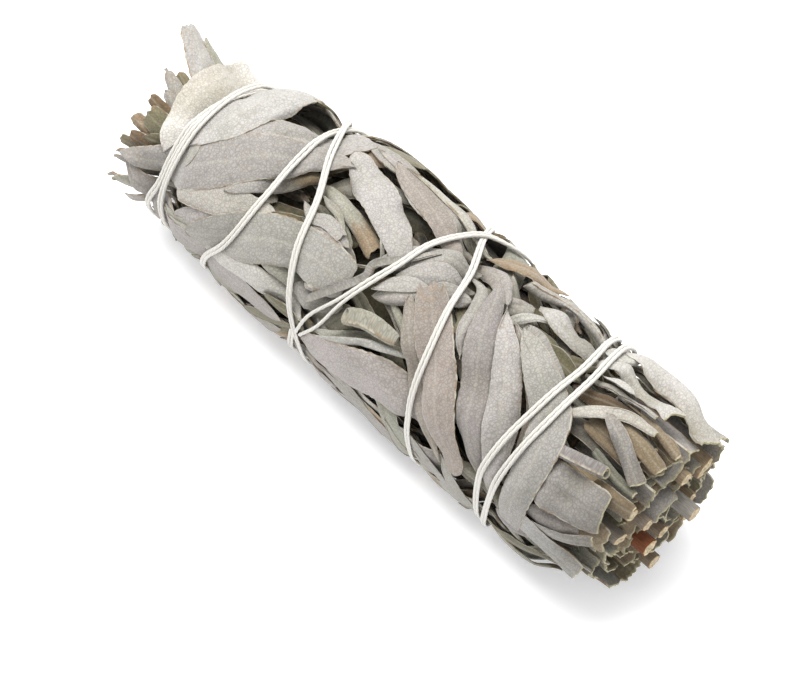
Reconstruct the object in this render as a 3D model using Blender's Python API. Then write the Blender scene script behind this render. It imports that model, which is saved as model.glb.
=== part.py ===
"""A bundle of dried sage: leaves packed along woody stems and tied with a doubled string.

The bundle lies on its belly along X, with its leafy tip at -X and its cut stems at +X.
A place on it is given by x along the bundle's own axis in millimetres, the angle round that
axis in degrees, from the top towards -Y, and the distance out from the axis.
"""

import math

import bmesh
import bpy
import numpy as np
from mathutils.kdtree import KDTree

MM = 0.001

# The bundle's body, in millimetres
TIP_X = -52.0
BUTT_X = 52.0
TIP_RADIUS = 13.6
BUTT_RADIUS = 16.6
TAPER_POWER = 0.8
BELLY_CUT = 0.9

# Leaves
LEAF_THICKNESS = 0.68
LEAF_CROWN = 0.35
LEAF_SINK = 0.12
CORE_DEPTH = 1.7
CORE_TIP_X = -48.0
CORE_BUTT_X = 42.0
BLADE_DEPTH = 1.8
MIN_ROWS = 2
MAX_ROWS = 6
ROW_STEP = 8.5
FINE_ROWS = 25
FINE_COLUMNS = 9
FACE_SHARE = 0.72
TOUCH = 0.004
TOUCH_STEP = 0.02
SEED = 41

# String: one string laid double, drawn as one flattened cord
STRING_WIDTH = 1.4
STRING_HEIGHT = 0.8
STRING_GAP = 0.35
STRING_STEP = 15.0
FINE_STRING_STEP = 3.0
TAUT_ROUNDS = 14
STRING_PINCH = 1.3
TIP_PINCH = 2.1
PINCH_WIDTH = 2.6
FLOOR_GAP = 0.35

# Stems
STEM_SIDES = 8
STEM_GAP = 0.3
PITH_SHARE = 0.45
PITH_DEPTH = 0.6

# The grid that keeps the height of what has been laid so far
GRID_X = np.arange(-64.0, 62.0, 0.7)
GRID_ANGLE = np.arange(0.0, 360.0, 2.0)

TILT = math.atan((BUTT_RADIUS - TIP_RADIUS) / (BUTT_X - TIP_X))
AXIS_HEIGHT = 0.5 * (TIP_RADIUS + BUTT_RADIUS) - BELLY_CUT + 0.25

# The string's route: x and angle, always turning the same way. It leaves the knot at the lower
# edge, goes to the tip and twice round it, down to the butt and twice round it, and back.
STRING_ROUTE = [
    (-10.5, 113), (-15, 170), (-22, 240), (-27, 306),
    (-25.5, 358), (-25, 392), (-27, 433), (-30.5, 472),
    (-34, 530), (-38.5, 600), (-42.5, 666),
    (-43.9, 721), (-44.2, 750), (-44, 774), (-43.9, 803), (-43.9, 832),
    (-43.5, 900), (-42.4, 970), (-41.6, 1026),
    (-41.7, 1078), (-41.4, 1097), (-41.3, 1121), (-41.5, 1156), (-41.9, 1192),
    (-40.5, 1230), (-35, 1300), (-27, 1386),
    (-22, 1422), (-18, 1451), (-15, 1481), (-11.7, 1509), (-10, 1552),
    (-6.5, 1610), (-0.5, 1680), (5.5, 1738),
    (10.5, 1785), (12, 1812), (13.5, 1837), (14.5, 1863), (15, 1882), (15.5, 1911),
    (18.5, 1960), (26, 2040), (31, 2102),
    (31.8, 2164), (31.5, 2192), (31.4, 2207), (31.1, 2232), (30.8, 2261),
    (31.4, 2330), (32.6, 2400), (33.4, 2462),
    (34.7, 2496), (34.9, 2536), (34.5, 2565), (34, 2588), (33.6, 2630),
    (31, 2680), (20, 2760), (9, 2800), (5.5, 2818),
    (5, 2850), (2.5, 2876), (0.5, 2900), (-2.5, 2927), (-5.5, 2945), (-9.6, 2991),
]

# Stems: distance towards +Y and up from the axis, where it starts and ends, its two half widths,
# and the turn of the wider one
STEMS = [
    (-5.3, 0.7, 20, 55.5, 1.5, 1.5, 0),
    (-9.3, 5.1, 30, 52.8, 0.9, 1.7, 60),
    (-4.8, 5.5, 20, 54.2, 1.1, 1.2, 30),
    (3.5, 8.7, 26, 54.0, 1.2, 1.2, 0),
    (8.1, 6.4, 28, 54.0, 1.1, 2.0, 130),
    (3.1, 2.0, 20, 56.8, 1.3, 1.3, 20),
    (1.9, 12.1, 40, 48.6, 0.9, 1.1, 0),
    (-6.9, 9.2, 34, 52.6, 1.1, 1.5, 40),
    (6.2, -0.9, 20, 53.8, 1.0, 1.0, 0),
    (-0.2, -3.0, 20, 54.0, 1.2, 1.2, 10),
    (-2.2, -9.3, 26, 54.6, 1.3, 1.3, 0),
    (6.6, -7.0, 24, 53.4, 1.4, 1.2, 50),
]

# Leaves laid by hand, the lowest first: points of the middle line (x, angle), width in the
# middle, width at the start and end as a share of it, and how far the crown stands up
LAID_LEAVES = [
    # Pieces that lie deep
    ([(-19, 0), (-16, 14), (-11, 24)], 5.0, 0.8, 0.6, 0.2),
    ([(36, 14), (40, 22), (46, 24)], 5.0, 0.7, 0.7, -0.2),
    ([(38, 6), (44, 11), (48, 15)], 4.0, 0.6, 0.8, 0.2),
    ([(33, 2), (37, -6), (43, -9)], 3.6, 0.6, 0.6, 0.2),
    ([(-1, 30), (1, 18), (5, 10)], 3.2, 0.6, 0.5, 0.2),
    ([(-16, 84), (-11, 89), (-4, 92)], 4.0, 0.5, 0.7, 0.3),
    ([(-20, 60), (-15, 61), (-9, 66)], 4.2, 0.6, 0.6, 0.3),
    ([(-13, 62), (-9, 63), (-4, 57)], 4.0, 0.6, 0.6, 0.4),
    ([(28, -10), (31, -21), (36, -32)], 3.6, 0.6, 0.6, 0.2),
    ([(34, -62), (39, -64), (47, -62)], 5.0, 0.6, 0.9, 0.3),
    ([(38, 64), (43, 60), (48, 57)], 4.0, 0.7, 0.9, 0.3),
    # The underside and the lower edge
    ([(-52, 97), (-46, 108), (-30, 114), (-12, 117)], 6.5, 0.4, 0.4, 0.5),
    ([(-55, 118), (-47, 108), (-38, 100)], 5.5, 0.2, 0.5, 0.4),
    ([(-42, 101), (-35, 86), (-27, 76), (-20, 72)], 3.0, 0.5, 0.3, 0.5),
    ([(-37, 80), (-31, 63), (-24, 50)], 3.6, 0.3, 0.3, 0.6),
    ([(-31, 96), (-22, 79), (-15, 77), (-9, 83)], 5.2, 0.6, 0.3, 0.5),
    ([(-34, 88), (-26, 63), (-19, 46), (-11, 38), (-4, 37)], 6.6, 0.4, 0.5, 0.5),
    # The middle
    ([(-21, 25), (-17, 20), (-12, 19), (-7, 24)], 3.2, 0.5, 0.4, 0.5),
    ([(-19, 14), (-14, 17), (-10, 21)], 1.9, 0.6, 0.5, 0.4),
    ([(-24, 9), (-18, 3), (-13, 5), (-7, 18)], 2.4, 0.5, 0.5, 0.5),
    ([(-21, -66), (-14, -62), (-8, -60)], 4.0, 0.5, 0.6, 0.5),
    ([(-17, -52), (-10, -56), (-3, -52), (4, -62)], 4.2, 0.4, 0.4, 0.5),
    ([(-13, -38), (-6, -31), (0, -32), (7, -40)], 5.0, 0.3, 0.3, 0.6),
    ([(-7, -16), (-2, -12), (3, -8)], 4.0, 0.4, 0.4, 0.4),
    ([(-7, 81), (0, 66), (6, 54), (11, 47)], 2.6, 0.4, 0.5, 0.4),
    ([(1, 30), (5, 36), (9, 45)], 2.4, 0.5, 0.5, 0.5),
    ([(-3, 57), (1, 46), (7, 43)], 4.4, 0.7, 0.4, 0.9),
    ([(0, 17), (4, 6), (8, -2), (12, -12)], 5.4, 0.3, 0.2, 0.7),
    ([(-1, 34), (3, 24), (8, 11)], 3.8, 0.3, 0.2, 0.6),
    ([(7, 14), (10, 4), (13, -4)], 3.4, 0.4, 0.3, 0.5),
    ([(14, -14), (18, -20), (22, -28)], 4.0, 0.5, 0.5, 0.5),
    ([(30, -52), (35, -46), (42, -50)], 5.0, 0.4, 0.6, 0.4),
    ([(34, 8), (38, 2), (43, -6)], 2.6, 0.5, 0.4, 0.4),
    ([(38, 76), (44, 70), (50, 64)], 5.0, 0.6, 0.9, 0.4),
    ([(38, 92), (44, 88), (51, 90)], 7.0, 0.6, 0.9, 0.4),
    ([(40, 3), (46, 9), (51.5, 16)], 2.8, 0.6, 1.3, 0.4),
    ([(36, 41), (43, 42), (50.5, 43)], 6.6, 0.8, 1.0, 0.4),
    ([(40, 32), (46.5, 26)], 2.8, 0.8, 0.9, 0.9),
    # The layer above
    ([(-42, 78), (-37, 60), (-30, 47), (-20, 33)], 6.2, 0.3, 0.4, 0.7),
    ([(-38, 26), (-34, 6), (-29, -15), (-24, -38), (-18, -64)], 5.6, 0.3, 0.5, 0.5),
    ([(-32, 42), (-27, 20), (-24, 3), (-20, -14)], 4.6, 0.4, 0.3, 0.6),
    ([(-17, 0), (-12, 4), (-7, 8), (-3, 20)], 4.6, 0.5, 0.4, 0.5),
    ([(-22, -46), (-17, -29), (-11, -17), (-5, -4), (0, 10)], 8.2, 0.3, 0.3, 0.5),
    ([(-10, 53), (-4, 54)], 3.8, 0.9, 0.7, 1.2),
    ([(-8, 60), (-5, 38), (-2, 12), (3, -5)], 3.0, 0.6, 0.5, 0.7),
    ([(-3, 18), (2, -4), (8, -20), (13, -34)], 5.0, 0.4, 0.3, 0.8),
    ([(12, -26), (17, 5), (21, 29), (25, 55), (28.5, 87), (31, 112)], 6.0, 0.2, 0.5, 0.6),
    ([(8, -38), (13, -51), (21, -63)], 4.6, 0.3, 0.5, 0.4),
    ([(15, -38), (21, -43), (31, -45)], 3.8, 0.5, 0.5, 0.9),
    ([(20, -33), (25, -28), (31, -26)], 5.4, 0.4, 1.1, 0.4),
    ([(21, -11), (27, -4), (32, 3)], 2.6, 0.6, 0.7, 0.9),
    ([(33, -30), (42, -42), (54, -38)], 6.6, 0.4, 0.9, 0.5),
    ([(32, -14), (40, -14), (47, -16)], 3.8, 0.5, 0.8, 0.9),
    ([(33, 18), (38, 5), (42, -4), (48, -8)], 3.8, 0.4, 0.8, 0.7),
    ([(33, -32), (41, -30), (48.5, -21)], 4.8, 0.4, 1.4, 0.5),
    # The uppermost leaves
    ([(-53, 92), (-44, 58), (-35, 33), (-28, 6), (-22, -15), (-16, -20)], 8.4, 0.3, 0.2, 0.7),
    ([(-52, -8), (-46, -12), (-39, -18), (-34, -50), (-31, -70)], 12.5, 0.4, 0.6, 0.5),
    ([(-43, 22), (-40, 34), (-39, 50)], 3.0, 0.7, 0.4, 0.6),
    ([(-8, 116), (0, 91), (7, 79), (14, 78), (19, 92)], 9.6, 0.5, 0.4, 0.6),
    ([(6, 12), (11, 27), (15, 41), (18, 57), (22, 78), (24.5, 114)], 7.4, 0.6, 0.6, 0.5),
    ([(5, 26), (9.5, 38), (13, 52), (17, 68), (20, 90)], 3.0, 0.4, 0.3, 0.5),
    ([(17, -9), (23, 10), (27, 28), (29, 44), (31, 65), (32, 94)], 6.2, 0.3, 0.5, 0.7),
    ([(20, -6), (26, 5), (30, 22), (33, 50)], 2.6, 0.4, 0.3, 0.6),
    ([(25, -4), (32, 14), (36, 31), (37, 54), (37, 92), (37.5, 106)], 6.8, 0.3, 0.8, 0.6),
    ([(8, -22), (12, -11), (14.5, 5), (16, 28)], 2.8, 0.4, 0.4, 0.7),
]

# Seeded leaves that cover the rest of the surface: count, and the spread of their turn from
# the bundle's axis in degrees
BACK_LEAVES = 28
BACK_TURN = 24.0

# Leaf ends that stand out of the two ends: x at the root and at the end, angle, distance out at
# the root and at the end, width, share of the width left at the end
TIP_ENDS = [
    (-44, -61, -27, 11.0, 11.5, 6.0, 0.5),
    (-44, -56, -38, 12.0, 11.0, 3.2, 0.4),
    (-44, -54, 2, 11.0, 9.5, 4.4, 0.5),
    (-44, -53, 24, 10.6, 9.0, 5.4, 0.8),
    (-44, -53.5, 44, 10.4, 9.6, 5.0, 0.8),
    (-44, -55, 66, 11.2, 10.6, 4.4, 0.4),
    (-44, -57, 84, 11.4, 10.8, 4.2, 0.2),
    (-44, -56, 112, 11.0, 10.4, 5.0, 0.3),
    (-44, -54, 150, 10.6, 9.6, 6.0, 0.5),
    (-44, -56, 190, 10.2, 9.0, 5.6, 0.3),
    (-44, -55, 236, 10.8, 9.6, 6.0, 0.4),
    (-44, -57, 288, 10.8, 9.4, 5.4, 0.3),
    (-44, -54, 20, 6.6, 5.4, 6.0, 0.6),
    (-44, -55, 120, 6.6, 5.0, 6.0, 0.4),
    (-44, -53, 230, 6.6, 5.6, 6.0, 0.6),
    (-44, -52, 320, 5.0, 3.6, 6.0, 0.7),
]
BUTT_ENDS = [
    (38, 52.0, 62, 13.2, 13.4, 4.6, 1.0),
    (38, 51.0, 112, 13.8, 13.0, 5.4, 0.7),
    (38, 56.0, 172, 8.6, 6.6, 8.0, 0.5),
    (38, 52.6, 140, 14.0, 13.4, 6.6, 0.9),
    (38, 52.2, 205, 13.6, 13.2, 7.0, 0.8),
    (38, 53.0, 238, 14.2, 13.6, 6.4, 0.9),
    (38, 52.0, 270, 13.4, 13.0, 6.6, 1.0),
    (38, 53.4, 300, 14.4, 14.2, 7.0, 0.9),
    (38, 52.4, 330, 12.6, 12.6, 5.0, 1.0),
    (38, 52.0, 350, 5.0, 5.6, 4.6, 1.0),
    (38, 53.2, 326, 7.6, 7.8, 5.0, 1.1),
    (38, 52.6, 18, 8.6, 9.0, 5.6, 1.1),
    (38, 51.6, 94, 8.8, 8.8, 4.8, 0.9),
    (38, 52.6, 216, 8.0, 8.4, 6.0, 0.8),
    (38, 53.0, 262, 9.4, 9.2, 5.0, 0.9),
]

# Folded leaves packed between the stems at the butt, by a seeded rule: count and their places
INNER_ENDS = 14
INNER_ROOT = 38.0
INNER_REACH = (49.5, 53.0)
INNER_OUT = (3.5, 11.5)

# Knot: where the string's two ends meet, and its half sizes along X, round the bundle and outwards
KNOT_X = -10.2
KNOT_ANGLE = 114.0
KNOT_HALF = (1.7, 1.4, 0.95)
KNOT_SIDES = 8

# Finishes: colour, roughness
FINISHES = {
    "sage_leaves": ((0.50, 0.48, 0.42), 0.9),
    "stem": ((0.46, 0.33, 0.16), 0.8),
    "string": ((0.80, 0.77, 0.68), 0.85),
}


def radius_at(x):
    """The bundle's outer radius: it grows from the tip to the butt and rounds off at both ends."""
    share = np.clip((x - TIP_X) / (BUTT_X - TIP_X), 0.0, 1.0)
    body = TIP_RADIUS + (BUTT_RADIUS - TIP_RADIUS) * share ** TAPER_POWER
    tip_end = np.clip((x - (TIP_X - 7.0)) / 12.0, 0.0, 1.0)
    butt_end = np.clip(((BUTT_X + 5.0) - x) / 12.0, 0.0, 1.0)
    return body * (0.72 + 0.28 * np.sin(0.5 * np.pi * tip_end)) * (0.9 + 0.1 * np.sin(0.5 * np.pi * butt_end))


def to_world(x, angle, out):
    """A place on the bundle in world millimetres, with the axis tilted so that the belly lies flat."""
    turn = np.radians(angle)
    up = out * np.cos(turn)
    return np.stack([
        x * math.cos(TILT) - up * math.sin(TILT),
        -out * np.sin(turn),
        AXIS_HEIGHT + x * math.sin(TILT) + up * math.cos(TILT),
    ], axis=-1)


def smooth_points(points, count):
    """Points read evenly along a smooth curve through the given ones."""
    points = np.asarray(points, float)
    if len(points) == 2:
        share = np.linspace(0.0, 1.0, count)[:, None]
        return points[0] * (1.0 - share) + points[1] * share
    before = 2.0 * points[0] - points[1]
    after = 2.0 * points[-1] - points[-2]
    padded = np.vstack([before, points, after])
    place = np.linspace(0.0, len(points) - 1.0, 12 * len(points))
    first = np.minimum(place.astype(int), len(points) - 2)
    t = (place - first)[:, None]
    p0, p1, p2, p3 = (padded[first + k] for k in range(4))
    curve = 0.5 * (2.0 * p1 + (p2 - p0) * t + (2.0 * p0 - 5.0 * p1 + 4.0 * p2 - p3) * t ** 2
                   + (3.0 * p1 - p0 - 3.0 * p2 + p3) * t ** 3)
    length = np.concatenate([[0.0], np.cumsum(np.linalg.norm(np.diff(curve, axis=0), axis=1))])
    even = np.linspace(0.0, length[-1], count)
    return np.stack([np.interp(even, length, curve[:, k]) for k in range(curve.shape[1])], axis=1)


def read_grid(grid, x, angle):
    """The grid's value at any place, by its four nearest points."""
    across = np.clip((x - GRID_X[0]) / (GRID_X[1] - GRID_X[0]), 0.0, len(GRID_X) - 1.001)
    around = (angle % 360.0) / (GRID_ANGLE[1] - GRID_ANGLE[0])
    i = across.astype(int)
    j = around.astype(int) % len(GRID_ANGLE)
    j_next = (j + 1) % len(GRID_ANGLE)
    s = across - i
    t = around - np.floor(around)
    low = grid[i, j] * (1.0 - t) + grid[i, j_next] * t
    high = grid[i + 1, j] * (1.0 - t) + grid[i + 1, j_next] * t
    return low * (1.0 - s) + high * s


def raise_grid(grid, x, angle, out):
    """Lifts the grid to what was laid on it."""
    i = np.clip(np.round((x - GRID_X[0]) / (GRID_X[1] - GRID_X[0])).astype(int), 0, len(GRID_X) - 1)
    j = np.round((angle % 360.0) / (GRID_ANGLE[1] - GRID_ANGLE[0])).astype(int) % len(GRID_ANGLE)
    np.maximum.at(grid, (i.ravel(), j.ravel()), out.ravel())


def route_samples(step):
    """The string's route read every few degrees along its whole turning length."""
    route = np.array(STRING_ROUTE, float)
    angle = np.arange(route[0, 1], route[-1, 1] + 0.001, step)
    slope = np.gradient(route[:, 0], route[:, 1])
    i = np.clip(np.searchsorted(route[:, 1], angle, side="right") - 1, 0, len(route) - 2)
    span = route[i + 1, 1] - route[i, 1]
    t = (angle - route[i, 1]) / span
    h00 = 2 * t ** 3 - 3 * t ** 2 + 1
    h10 = t ** 3 - 2 * t ** 2 + t
    h01 = -2 * t ** 3 + 3 * t ** 2
    h11 = t ** 3 - t ** 2
    x = h00 * route[i, 0] + h10 * span * slope[i] + h01 * route[i + 1, 0] + h11 * span * slope[i + 1]
    return x, angle


def pinch_grid():
    """How far the string pulls the surface in, deepest under it and fading to both sides."""
    pinch = np.zeros((len(GRID_X), len(GRID_ANGLE)))
    route_x, route_angle = route_samples(2.0)
    column = np.round((route_angle % 360.0) / 2.0).astype(int) % len(GRID_ANGLE)
    for k in range(len(route_x)):
        depth = TIP_PINCH if route_x[k] < -39.0 else STRING_PINCH
        fall = depth * np.exp(-((GRID_X - route_x[k]) / PINCH_WIDTH) ** 2)
        pinch[:, column[k]] = np.maximum(pinch[:, column[k]], fall)
    return pinch


def blade_width(share, start, end):
    """A leaf's width along its length: full in the middle, narrower at both ends by a sine."""
    rise = np.sin(0.5 * np.pi * np.clip(share / 0.45, 0.0, 1.0))
    fall = np.sin(0.5 * np.pi * np.clip((1.0 - share) / 0.45, 0.0, 1.0))
    return (start + (1.0 - start) * rise) * (end + (1.0 - end) * fall)


def blade_places(points, width, start, end):
    """The leaf's fine grid of places: its middle line, and columns across it at right angles."""
    points = np.array(points, float)
    mean_radius = float(np.mean(radius_at(points[:, 0])))
    flat = np.stack([points[:, 0], np.radians(points[:, 1]) * mean_radius], axis=1)
    line = smooth_points(flat, FINE_ROWS)
    along = np.gradient(line, axis=0)
    along /= np.linalg.norm(along, axis=1)[:, None]
    side = np.stack([-along[:, 1], along[:, 0]], axis=1)
    half = 0.5 * width * blade_width(np.linspace(0.0, 1.0, FINE_ROWS), start, end)
    across = np.linspace(-1.0, 1.0, FINE_COLUMNS)
    places = line[:, None, :] + side[:, None, :] * (half[:, None] * across[None, :])[:, :, None]
    return places[:, :, 0], np.degrees(places[:, :, 1] / mean_radius)


def bridged(out):
    """A stiff leaf spans the hollows under it: each place rises to its neighbours' average."""
    for _ in range(4):
        padded = np.pad(out, ((1, 1), (1, 1)), mode="edge")
        near = 0.25 * (padded[:-2, 1:-1] + padded[2:, 1:-1] + padded[1:-1, :-2] + padded[1:-1, 2:])
        out = np.maximum(out, near)
    return out


def blade_solid(x, angle, top, depth, pinch):
    """A closed blade: three points across its upper face, and two across the lower one, sunk in."""
    middle = FINE_COLUMNS // 2
    turned = np.radians(np.diff(angle[:, middle])) * TIP_RADIUS
    length = float(np.sum(np.hypot(np.diff(x[:, middle]), turned)))
    rows = int(np.clip(round(length / ROW_STEP), MIN_ROWS, MAX_ROWS)) + 1
    keep = np.round(np.linspace(0, FINE_ROWS - 1, rows)).astype(int)
    columns = [0, middle, FINE_COLUMNS - 1]
    top = top - read_grid(pinch, x, angle)
    lower = np.repeat(top.min(axis=1)[:, None] - depth, FINE_COLUMNS, axis=1)
    upper_points = to_world(x[keep][:, columns], angle[keep][:, columns], top[keep][:, columns])
    ends = [0, FINE_COLUMNS - 1]
    lower_points = to_world(x[keep][:, ends], angle[keep][:, ends], lower[keep][:, ends])
    ring = np.concatenate([upper_points, lower_points[:, ::-1]], axis=1)
    return ring.reshape(-1, 3), rings_faces(rows, 5)


def rings_faces(rows, sides):
    """Triangles of a tube of rings, with a fan over each end."""
    faces = []
    for i in range(rows - 1):
        for j in range(sides):
            a = i * sides + j
            b = i * sides + (j + 1) % sides
            faces += [(a, b, b + sides), (a, b + sides, a + sides)]
    last = (rows - 1) * sides
    corner = sides - 1
    for j in range(corner - 1):
        faces.append((corner, j + 1, j))
        faces.append((last + corner, last + j, last + j + 1))
    return faces


def lay_leaf(grid, pinch, leaf):
    """Lays one leaf on what is there, and lifts the grid by it."""
    points, width, start, end, crown = leaf
    x, angle = blade_places(points, width, start, end)
    rest = bridged(read_grid(grid, x, angle))
    across = np.linspace(-1.0, 1.0, FINE_COLUMNS)[None, :]
    top = rest - LEAF_SINK + LEAF_THICKNESS + crown * (1.0 - across ** 2)
    raise_grid(grid, x, angle, top)
    return blade_solid(x, angle, top, BLADE_DEPTH, pinch)


def end_leaf(pinch, spec):
    """A leaf end that stands out of the tip or the butt, at its own distance from the axis."""
    root, tip, turn, out_root, out_tip, width, share = spec
    out = np.linspace(out_root, out_tip, FINE_ROWS)[:, None] * np.ones((1, FINE_COLUMNS))
    along = np.linspace(root, tip, FINE_ROWS)
    half = 0.5 * width * blade_width(np.linspace(0.0, 1.0, FINE_ROWS), 1.0, share)
    across = np.linspace(-1.0, 1.0, FINE_COLUMNS)[None, :]
    side = 1.0 if tip < root else -1.0
    angle = turn + side * np.degrees(half[:, None] * across / out)
    crown = LEAF_CROWN * (1.0 - across ** 2)
    x = along[:, None] * np.ones((1, FINE_COLUMNS))
    return blade_solid(x, angle, out + crown, LEAF_THICKNESS, pinch)


def back_leaf(draw, index):
    """A leaf of the seeded cover, set out in five staggered rows over the hidden side."""
    rows = 5
    column, row = divmod(index, rows)
    count = math.ceil(BACK_LEAVES / rows)
    x = -40.0 + 78.0 * (column + 0.5 * (row % 2) + draw.uniform(-0.2, 0.2)) / count
    angle = 132.0 + 150.0 * (row + 0.5 + draw.uniform(-0.25, 0.25)) / rows
    length = draw.uniform(24.0, 36.0)
    turn = math.radians(draw.uniform(-BACK_TURN, BACK_TURN))
    bend = draw.uniform(-6.0, 6.0)
    half_x = 0.5 * length * math.cos(turn)
    half_angle = math.degrees(0.5 * length * math.sin(turn) / BUTT_RADIUS)
    start = max(x - half_x, -53.0)
    end = min(x + half_x, 51.0)
    points = [(start, angle - half_angle), (0.5 * (start + end), angle + bend), (end, angle + half_angle)]
    return points, draw.uniform(6.0, 8.6), 0.25, 0.3, draw.uniform(0.4, 0.8)


def inner_leaf(draw, index):
    """One of the leaves between the stems: set round the axis by the golden angle, so that none line up."""
    share = (index + 0.5) / INNER_ENDS
    out = INNER_OUT[0] + (INNER_OUT[1] - INNER_OUT[0]) * math.sqrt(share)
    turn = index * 137.5 + draw.uniform(-12.0, 12.0)
    reach = draw.uniform(*INNER_REACH)
    return INNER_ROOT, reach, turn, out, out + draw.uniform(-0.6, 0.8), draw.uniform(3.4, 5.6), draw.uniform(0.8, 1.1)


def core_solid(grid, pinch):
    """The packed middle of the bunch, below the leaves' level, with hollow ends."""
    rows = 14
    sides = 20
    x = np.linspace(CORE_TIP_X, CORE_BUTT_X, rows)
    angle = np.arange(sides) * 360.0 / sides
    grid_x, grid_angle = np.meshgrid(x, angle, indexing="ij")
    out = read_grid(grid, grid_x, grid_angle) - read_grid(pinch, grid_x, grid_angle)
    out[0] *= 0.8
    points = to_world(grid_x, grid_angle, out).reshape(-1, 3)
    return points, rings_faces(rows, sides)


def mesh_object(name, points, faces):
    """A mesh object from points in millimetres, with its faces turned outwards."""
    mesh = bpy.data.meshes.new(name)
    mesh.from_pydata([tuple(point) for point in np.asarray(points) * MM], [], faces)
    body = bmesh.new()
    body.from_mesh(mesh)
    bmesh.ops.triangulate(body, faces=body.faces)
    bmesh.ops.recalc_face_normals(body, faces=body.faces)
    body.to_mesh(mesh)
    body.free()
    thing = bpy.data.objects.new(name, mesh)
    bpy.context.scene.collection.objects.link(thing)
    return thing


def give_finish(thing, finish):
    """A plain Principled finish of its own for one object."""
    colour, roughness = FINISHES[finish]
    material = bpy.data.materials.new(thing.name)
    material.use_nodes = True
    shader = material.node_tree.nodes["Principled BSDF"]
    shader.inputs["Base Color"].default_value = (*colour, 1.0)
    shader.inputs["Roughness"].default_value = roughness
    shader.inputs["Metallic"].default_value = 0.0
    thing.data.materials.clear()
    thing.data.materials.append(material)


def boolean(target, operation, others):
    """One Boolean of a body with a collection of others, applied, with the others removed."""
    group = bpy.data.collections.new("operands")
    bpy.context.scene.collection.children.link(group)
    for other in others:
        bpy.context.scene.collection.objects.unlink(other)
        group.objects.link(other)
    change = target.modifiers.new(operation, "BOOLEAN")
    change.operation = operation
    change.operand_type = "COLLECTION"
    change.collection = group
    change.solver = "MANIFOLD"
    graph = bpy.context.evaluated_depsgraph_get()
    result = bpy.data.meshes.new_from_object(target.evaluated_get(graph))
    target.modifiers.remove(change)
    target.data = result
    for other in others:
        bpy.data.objects.remove(other)
    bpy.data.collections.remove(group)


def keep_largest(thing):
    """Drops loose scraps and the hollows that fusing sealed."""
    body = bmesh.new()
    body.from_mesh(thing.data)
    bmesh.ops.triangulate(body, faces=body.faces)
    left = set(body.faces)
    shells = []
    while left:
        start = left.pop()
        shell = [start]
        waiting = [start]
        while waiting:
            face = waiting.pop()
            for edge in face.edges:
                for near in edge.link_faces:
                    if near in left:
                        left.discard(near)
                        shell.append(near)
                        waiting.append(near)
        shells.append(shell)
    shells.sort(key=len)
    for shell in shells[:-1]:
        bmesh.ops.delete(body, geom=shell, context="FACES")
    loose = [vertex for vertex in body.verts if not vertex.link_faces]
    bmesh.ops.delete(body, geom=loose, context="VERTS")
    body.to_mesh(thing.data)
    body.free()


def thin_out(thing, share):
    """Collapses the short edges and slivers that the union leaves, and keeps the given share of faces."""
    change = thing.modifiers.new("thin", "DECIMATE")
    change.ratio = share
    change.use_collapse_triangulate = True
    graph = bpy.context.evaluated_depsgraph_get()
    result = bpy.data.meshes.new_from_object(thing.evaluated_get(graph))
    thing.modifiers.remove(change)
    thing.data = result


def part_touching(thing):
    """Draws apart places where two sheets of the surface touch, each into its own material."""
    body = bmesh.new()
    body.from_mesh(thing.data)
    body.normal_update()
    tree = KDTree(len(body.verts))
    for vertex in body.verts:
        tree.insert(vertex.co, vertex.index)
    tree.balance()
    touching = set()
    for vertex in body.verts:
        for _, index, _ in tree.find_range(vertex.co, TOUCH * MM):
            if index != vertex.index:
                touching.add(vertex.index)
    body.verts.ensure_lookup_table()
    moves = [(body.verts[index], body.verts[index].normal * -TOUCH_STEP * MM) for index in touching]
    for vertex, move in moves:
        vertex.co += move
    body.to_mesh(thing.data)
    body.free()


def box_below(depth):
    """A block under the floor plane that cuts the belly flat."""
    corners = [(x, y, z) for x in (-80, 80) for y in (-40, 40) for z in (-depth, 0.0)]
    faces = [(0, 1, 3, 2), (4, 6, 7, 5), (0, 4, 5, 1), (2, 3, 7, 6), (0, 2, 6, 4), (1, 5, 7, 3)]
    return mesh_object("belly_cutter", corners, faces)


def drawn_taut(out, limit):
    """A taut string spans the hollows along its way, but keeps above the floor."""
    for _ in range(TAUT_ROUNDS):
        padded = np.pad(out, 2, mode="edge")
        smooth = 0.25 * (padded[:-4] + padded[1:-3] + padded[3:-1] + padded[4:])
        out = np.minimum(np.maximum(out, smooth), limit)
    return out


def string_places(grid, pinch):
    """The string's places, laid turn after turn: over the leaves' crowns, and over its earlier turns."""
    x, angle = route_samples(FINE_STRING_STEP)
    level = grid - pinch
    out = np.zeros(len(x))
    near = np.linspace(-0.5 * STRING_WIDTH - 0.2, 0.5 * STRING_WIDTH + 0.2, 5)
    highest = AXIS_HEIGHT - FLOOR_GAP - 0.5 * STRING_HEIGHT + x * math.sin(TILT)
    down = -np.cos(np.radians(angle)) * math.cos(TILT)
    limit = np.where(down > 0.2, highest / np.maximum(down, 0.2), 99.0)
    half_turn = int(180.0 / FINE_STRING_STEP)
    laid = 0
    for first in range(0, len(x), half_turn):
        here = slice(first, min(first + half_turn, len(x)))
        samples = [read_grid(level, x[here] + shift, angle[here]) for shift in near]
        out[here] = np.minimum(np.max(samples, axis=0) + STRING_GAP + 0.5 * STRING_HEIGHT, limit[here])
        before = slice(laid, max(laid, first))
        for shift in (-0.5 * STRING_WIDTH, 0.0, 0.5 * STRING_WIDTH):
            raise_grid(level, x[before] + shift, angle[before], out[before] + 0.5 * STRING_HEIGHT)
        laid = max(laid, first)
    return x, angle, drawn_taut(out, limit)


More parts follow.
